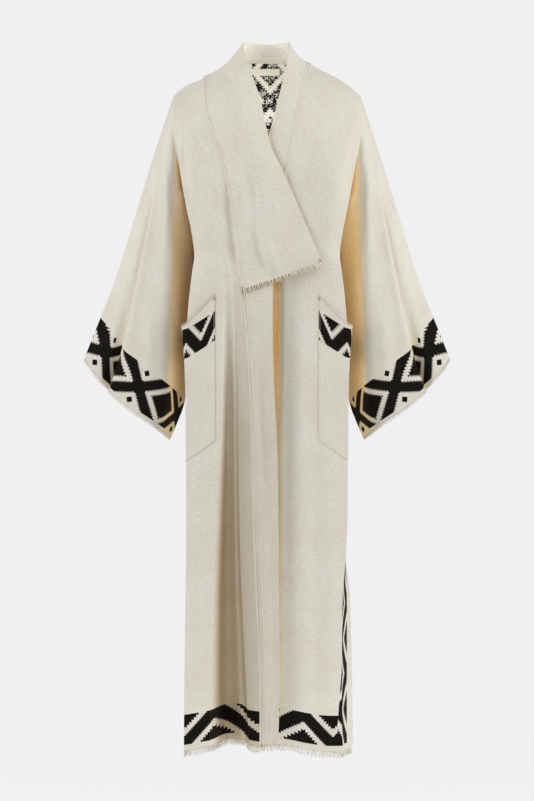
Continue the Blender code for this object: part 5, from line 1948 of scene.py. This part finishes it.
def bar_tack(name, piece, row, column):
    """Sew a few threads side by side over a corner of a piece."""
    sheet, way = sheets[piece], unit(inward[piece][row, column])
    corner = sheet[row, column]
    down = unit(sheet[1 if row == 0 else -2, column] - corner)
    aside = unit(sheet[row, 1 if column == 0 else -2] - corner)
    vertices, faces = [], []
    for k in range(TACK_THREADS):
        start = corner + aside * (k + 0.5) * TACK_PITCH - way * TACK_RADIUS
        centres = [start, start + down * TACK_LENGTH * 0.5 - way * TACK_RADIUS, start + down * TACK_LENGTH]
        add_tube(vertices, faces, centres, [TACK_RADIUS] * 3, aside, way)
    return thread_piece("tack_" + name, vertices, faces, tack_yarn)


for name, place in TACKS.items():
    bar_tack(name, *place)
print("stitches and bar tacks:", len(TACKS), "corners held")

# %% [markdown]
# Each cloth piece is listed with the size of the flat piece that a cutter would cut.

# %% Flat sizes of the sheets
Cut = namedtuple("Cut", "piece width length area rests_on")
CUTS = [
    Cut("back", 0.47, 1.39, 0.59, ["cloth_front_right", "cloth_front_left"]),
    Cut("front_right", 0.30, 1.38, 0.32, ["cloth_back"]),
    Cut("front_left", 0.31, 1.40, 0.365, ["cloth_back"]),
    Cut("sleeve_right", 0.62, 0.48, 0.235, ["cloth_front_right", "cloth_back"]),
    Cut("sleeve_left", 0.62, 0.48, 0.235, ["cloth_front_left", "cloth_back"]),
    Cut("collar_right", 0.13, 0.62, 0.068, ["cloth_front_right", "cloth_back"]),
    Cut("collar_left", 0.075, 0.55, 0.033, ["cloth_front_left", "cloth_back"]),
    Cut("front_band", 0.055, 0.92, 0.045, ["cloth_front_right"]),
    Cut("pocket_right", 0.175, 0.285, 0.041, ["cloth_front_right"]),
    Cut("pocket_left", 0.175, 0.285, 0.041, ["cloth_front_left"]),
    Cut("neck_label", 0.052, 0.014, 0.0007, ["cloth_back"]),
]
for cut in CUTS:
    print(cut.piece, "is cut", cut.width, "by", cut.length, "m")

# %% [markdown]
# The photograph has a bare pale studio: an even light wall, no cast shadow on it, and soft light
# from both sides. Large soft lights stand left, right, in front and above. Only the camera sees the
# backdrop at its full brightness, so the background can be pale without washing out the cloth. The
# floor is a pale disc below the hem, bright enough by itself to vanish into the background.

# %% Floor and light
BACKGROUND = 0.871
ROOM_LIGHT = 0.425
FLOOR_GLOW = 0.85
FLOOR_COLOUR = 0.03
FLOOR_HEIGHT = -1.43
FLOOR_RADIUS = 0.9

world = bpy.data.worlds.new("studio")
bpy.context.scene.world = world
world.use_nodes = True
nodes, links = world.node_tree.nodes, world.node_tree.links
room, backdrop = nodes["Background"], nodes.new("ShaderNodeBackground")
for background, strength in ((room, ROOM_LIGHT), (backdrop, 1.0)):
    background.inputs[0].default_value = (BACKGROUND, BACKGROUND, BACKGROUND, 1.0)
    background.inputs[1].default_value = strength
ray, choice = nodes.new("ShaderNodeLightPath"), nodes.new("ShaderNodeMixShader")
links.new(ray.outputs["Is Camera Ray"], choice.inputs[0])
links.new(room.outputs[0], choice.inputs[1])
links.new(backdrop.outputs[0], choice.inputs[2])
links.new(choice.outputs[0], nodes["World Output"].inputs[0])

floor_material = bpy.data.materials.new("pale_floor")
floor_material.use_nodes = True
floor_shader = floor_material.node_tree.nodes["Principled BSDF"]
floor_shader.inputs["Base Color"].default_value = (FLOOR_COLOUR, FLOOR_COLOUR, FLOOR_COLOUR, 1.0)
floor_shader.inputs["Roughness"].default_value = 1.0
floor_shader.inputs["Specular IOR Level"].default_value = 0.0
floor_shader.inputs["Emission Color"].default_value = (1.0, 1.0, 1.0, 1.0)
floor_shader.inputs["Emission Strength"].default_value = FLOOR_GLOW
bpy.ops.mesh.primitive_circle_add(vertices=96, radius=FLOOR_RADIUS, fill_type="NGON",
                                  location=(0.0, 0.0, FLOOR_HEIGHT))
floor = bpy.context.object
floor.name = "floor"
floor.data.materials.append(floor_material)

Light = namedtuple("Light", "name across depth height size power")
LIGHTS = [
    Light("left_light", -3.3, -1.3, 0.6, 2.0, 80.0),
    Light("right_light", 3.3, -1.4, 0.6, 2.0, 86.0),
    Light("front_light", 0.6, -4.4, 0.3, 2.0, 28.0),
    Light("top_light", 0.2, -1.6, 2.4, 1.2, 4.0),
]
GARMENT_MIDDLE = (0.0, 0.0, CAMERA_HEIGHT * METRE_PER_MM)

# A small lamp inside the neck lights the back's inner face, as in pictures of empty garments
NECK_LAMP = Light("neck_lamp", 0.0, -0.01, -0.25, 0.12, 0.55)
NECK_LAMP_COLOUR = (0.87, 0.90, 1.0)
NECK_LAMP_AIM = (0.0, 0.1, 0.0)


def soft_lamp(row, aim):
    """Set up a square soft light that shines at a point."""
    light = bpy.data.lights.new(row.name, "AREA")
    light.size = row.size
    light.energy = row.power
    lamp = bpy.data.objects.new(row.name, light)
    lamp.location = (row.across, row.depth, row.height)
    lamp.rotation_euler = (mathutils.Vector(aim) - lamp.location).to_track_quat("-Z", "Y").to_euler()
    bpy.context.scene.collection.objects.link(lamp)
    return lamp


for row in LIGHTS:
    soft_lamp(row, GARMENT_MIDDLE)
neck_lamp = soft_lamp(NECK_LAMP, NECK_LAMP_AIM)
neck_lamp.data.color = NECK_LAMP_COLOUR
neck_lamp.visible_camera = False
bpy.context.scene.view_settings.view_transform = "Standard"
print("lights:", len(LIGHTS) + 1)
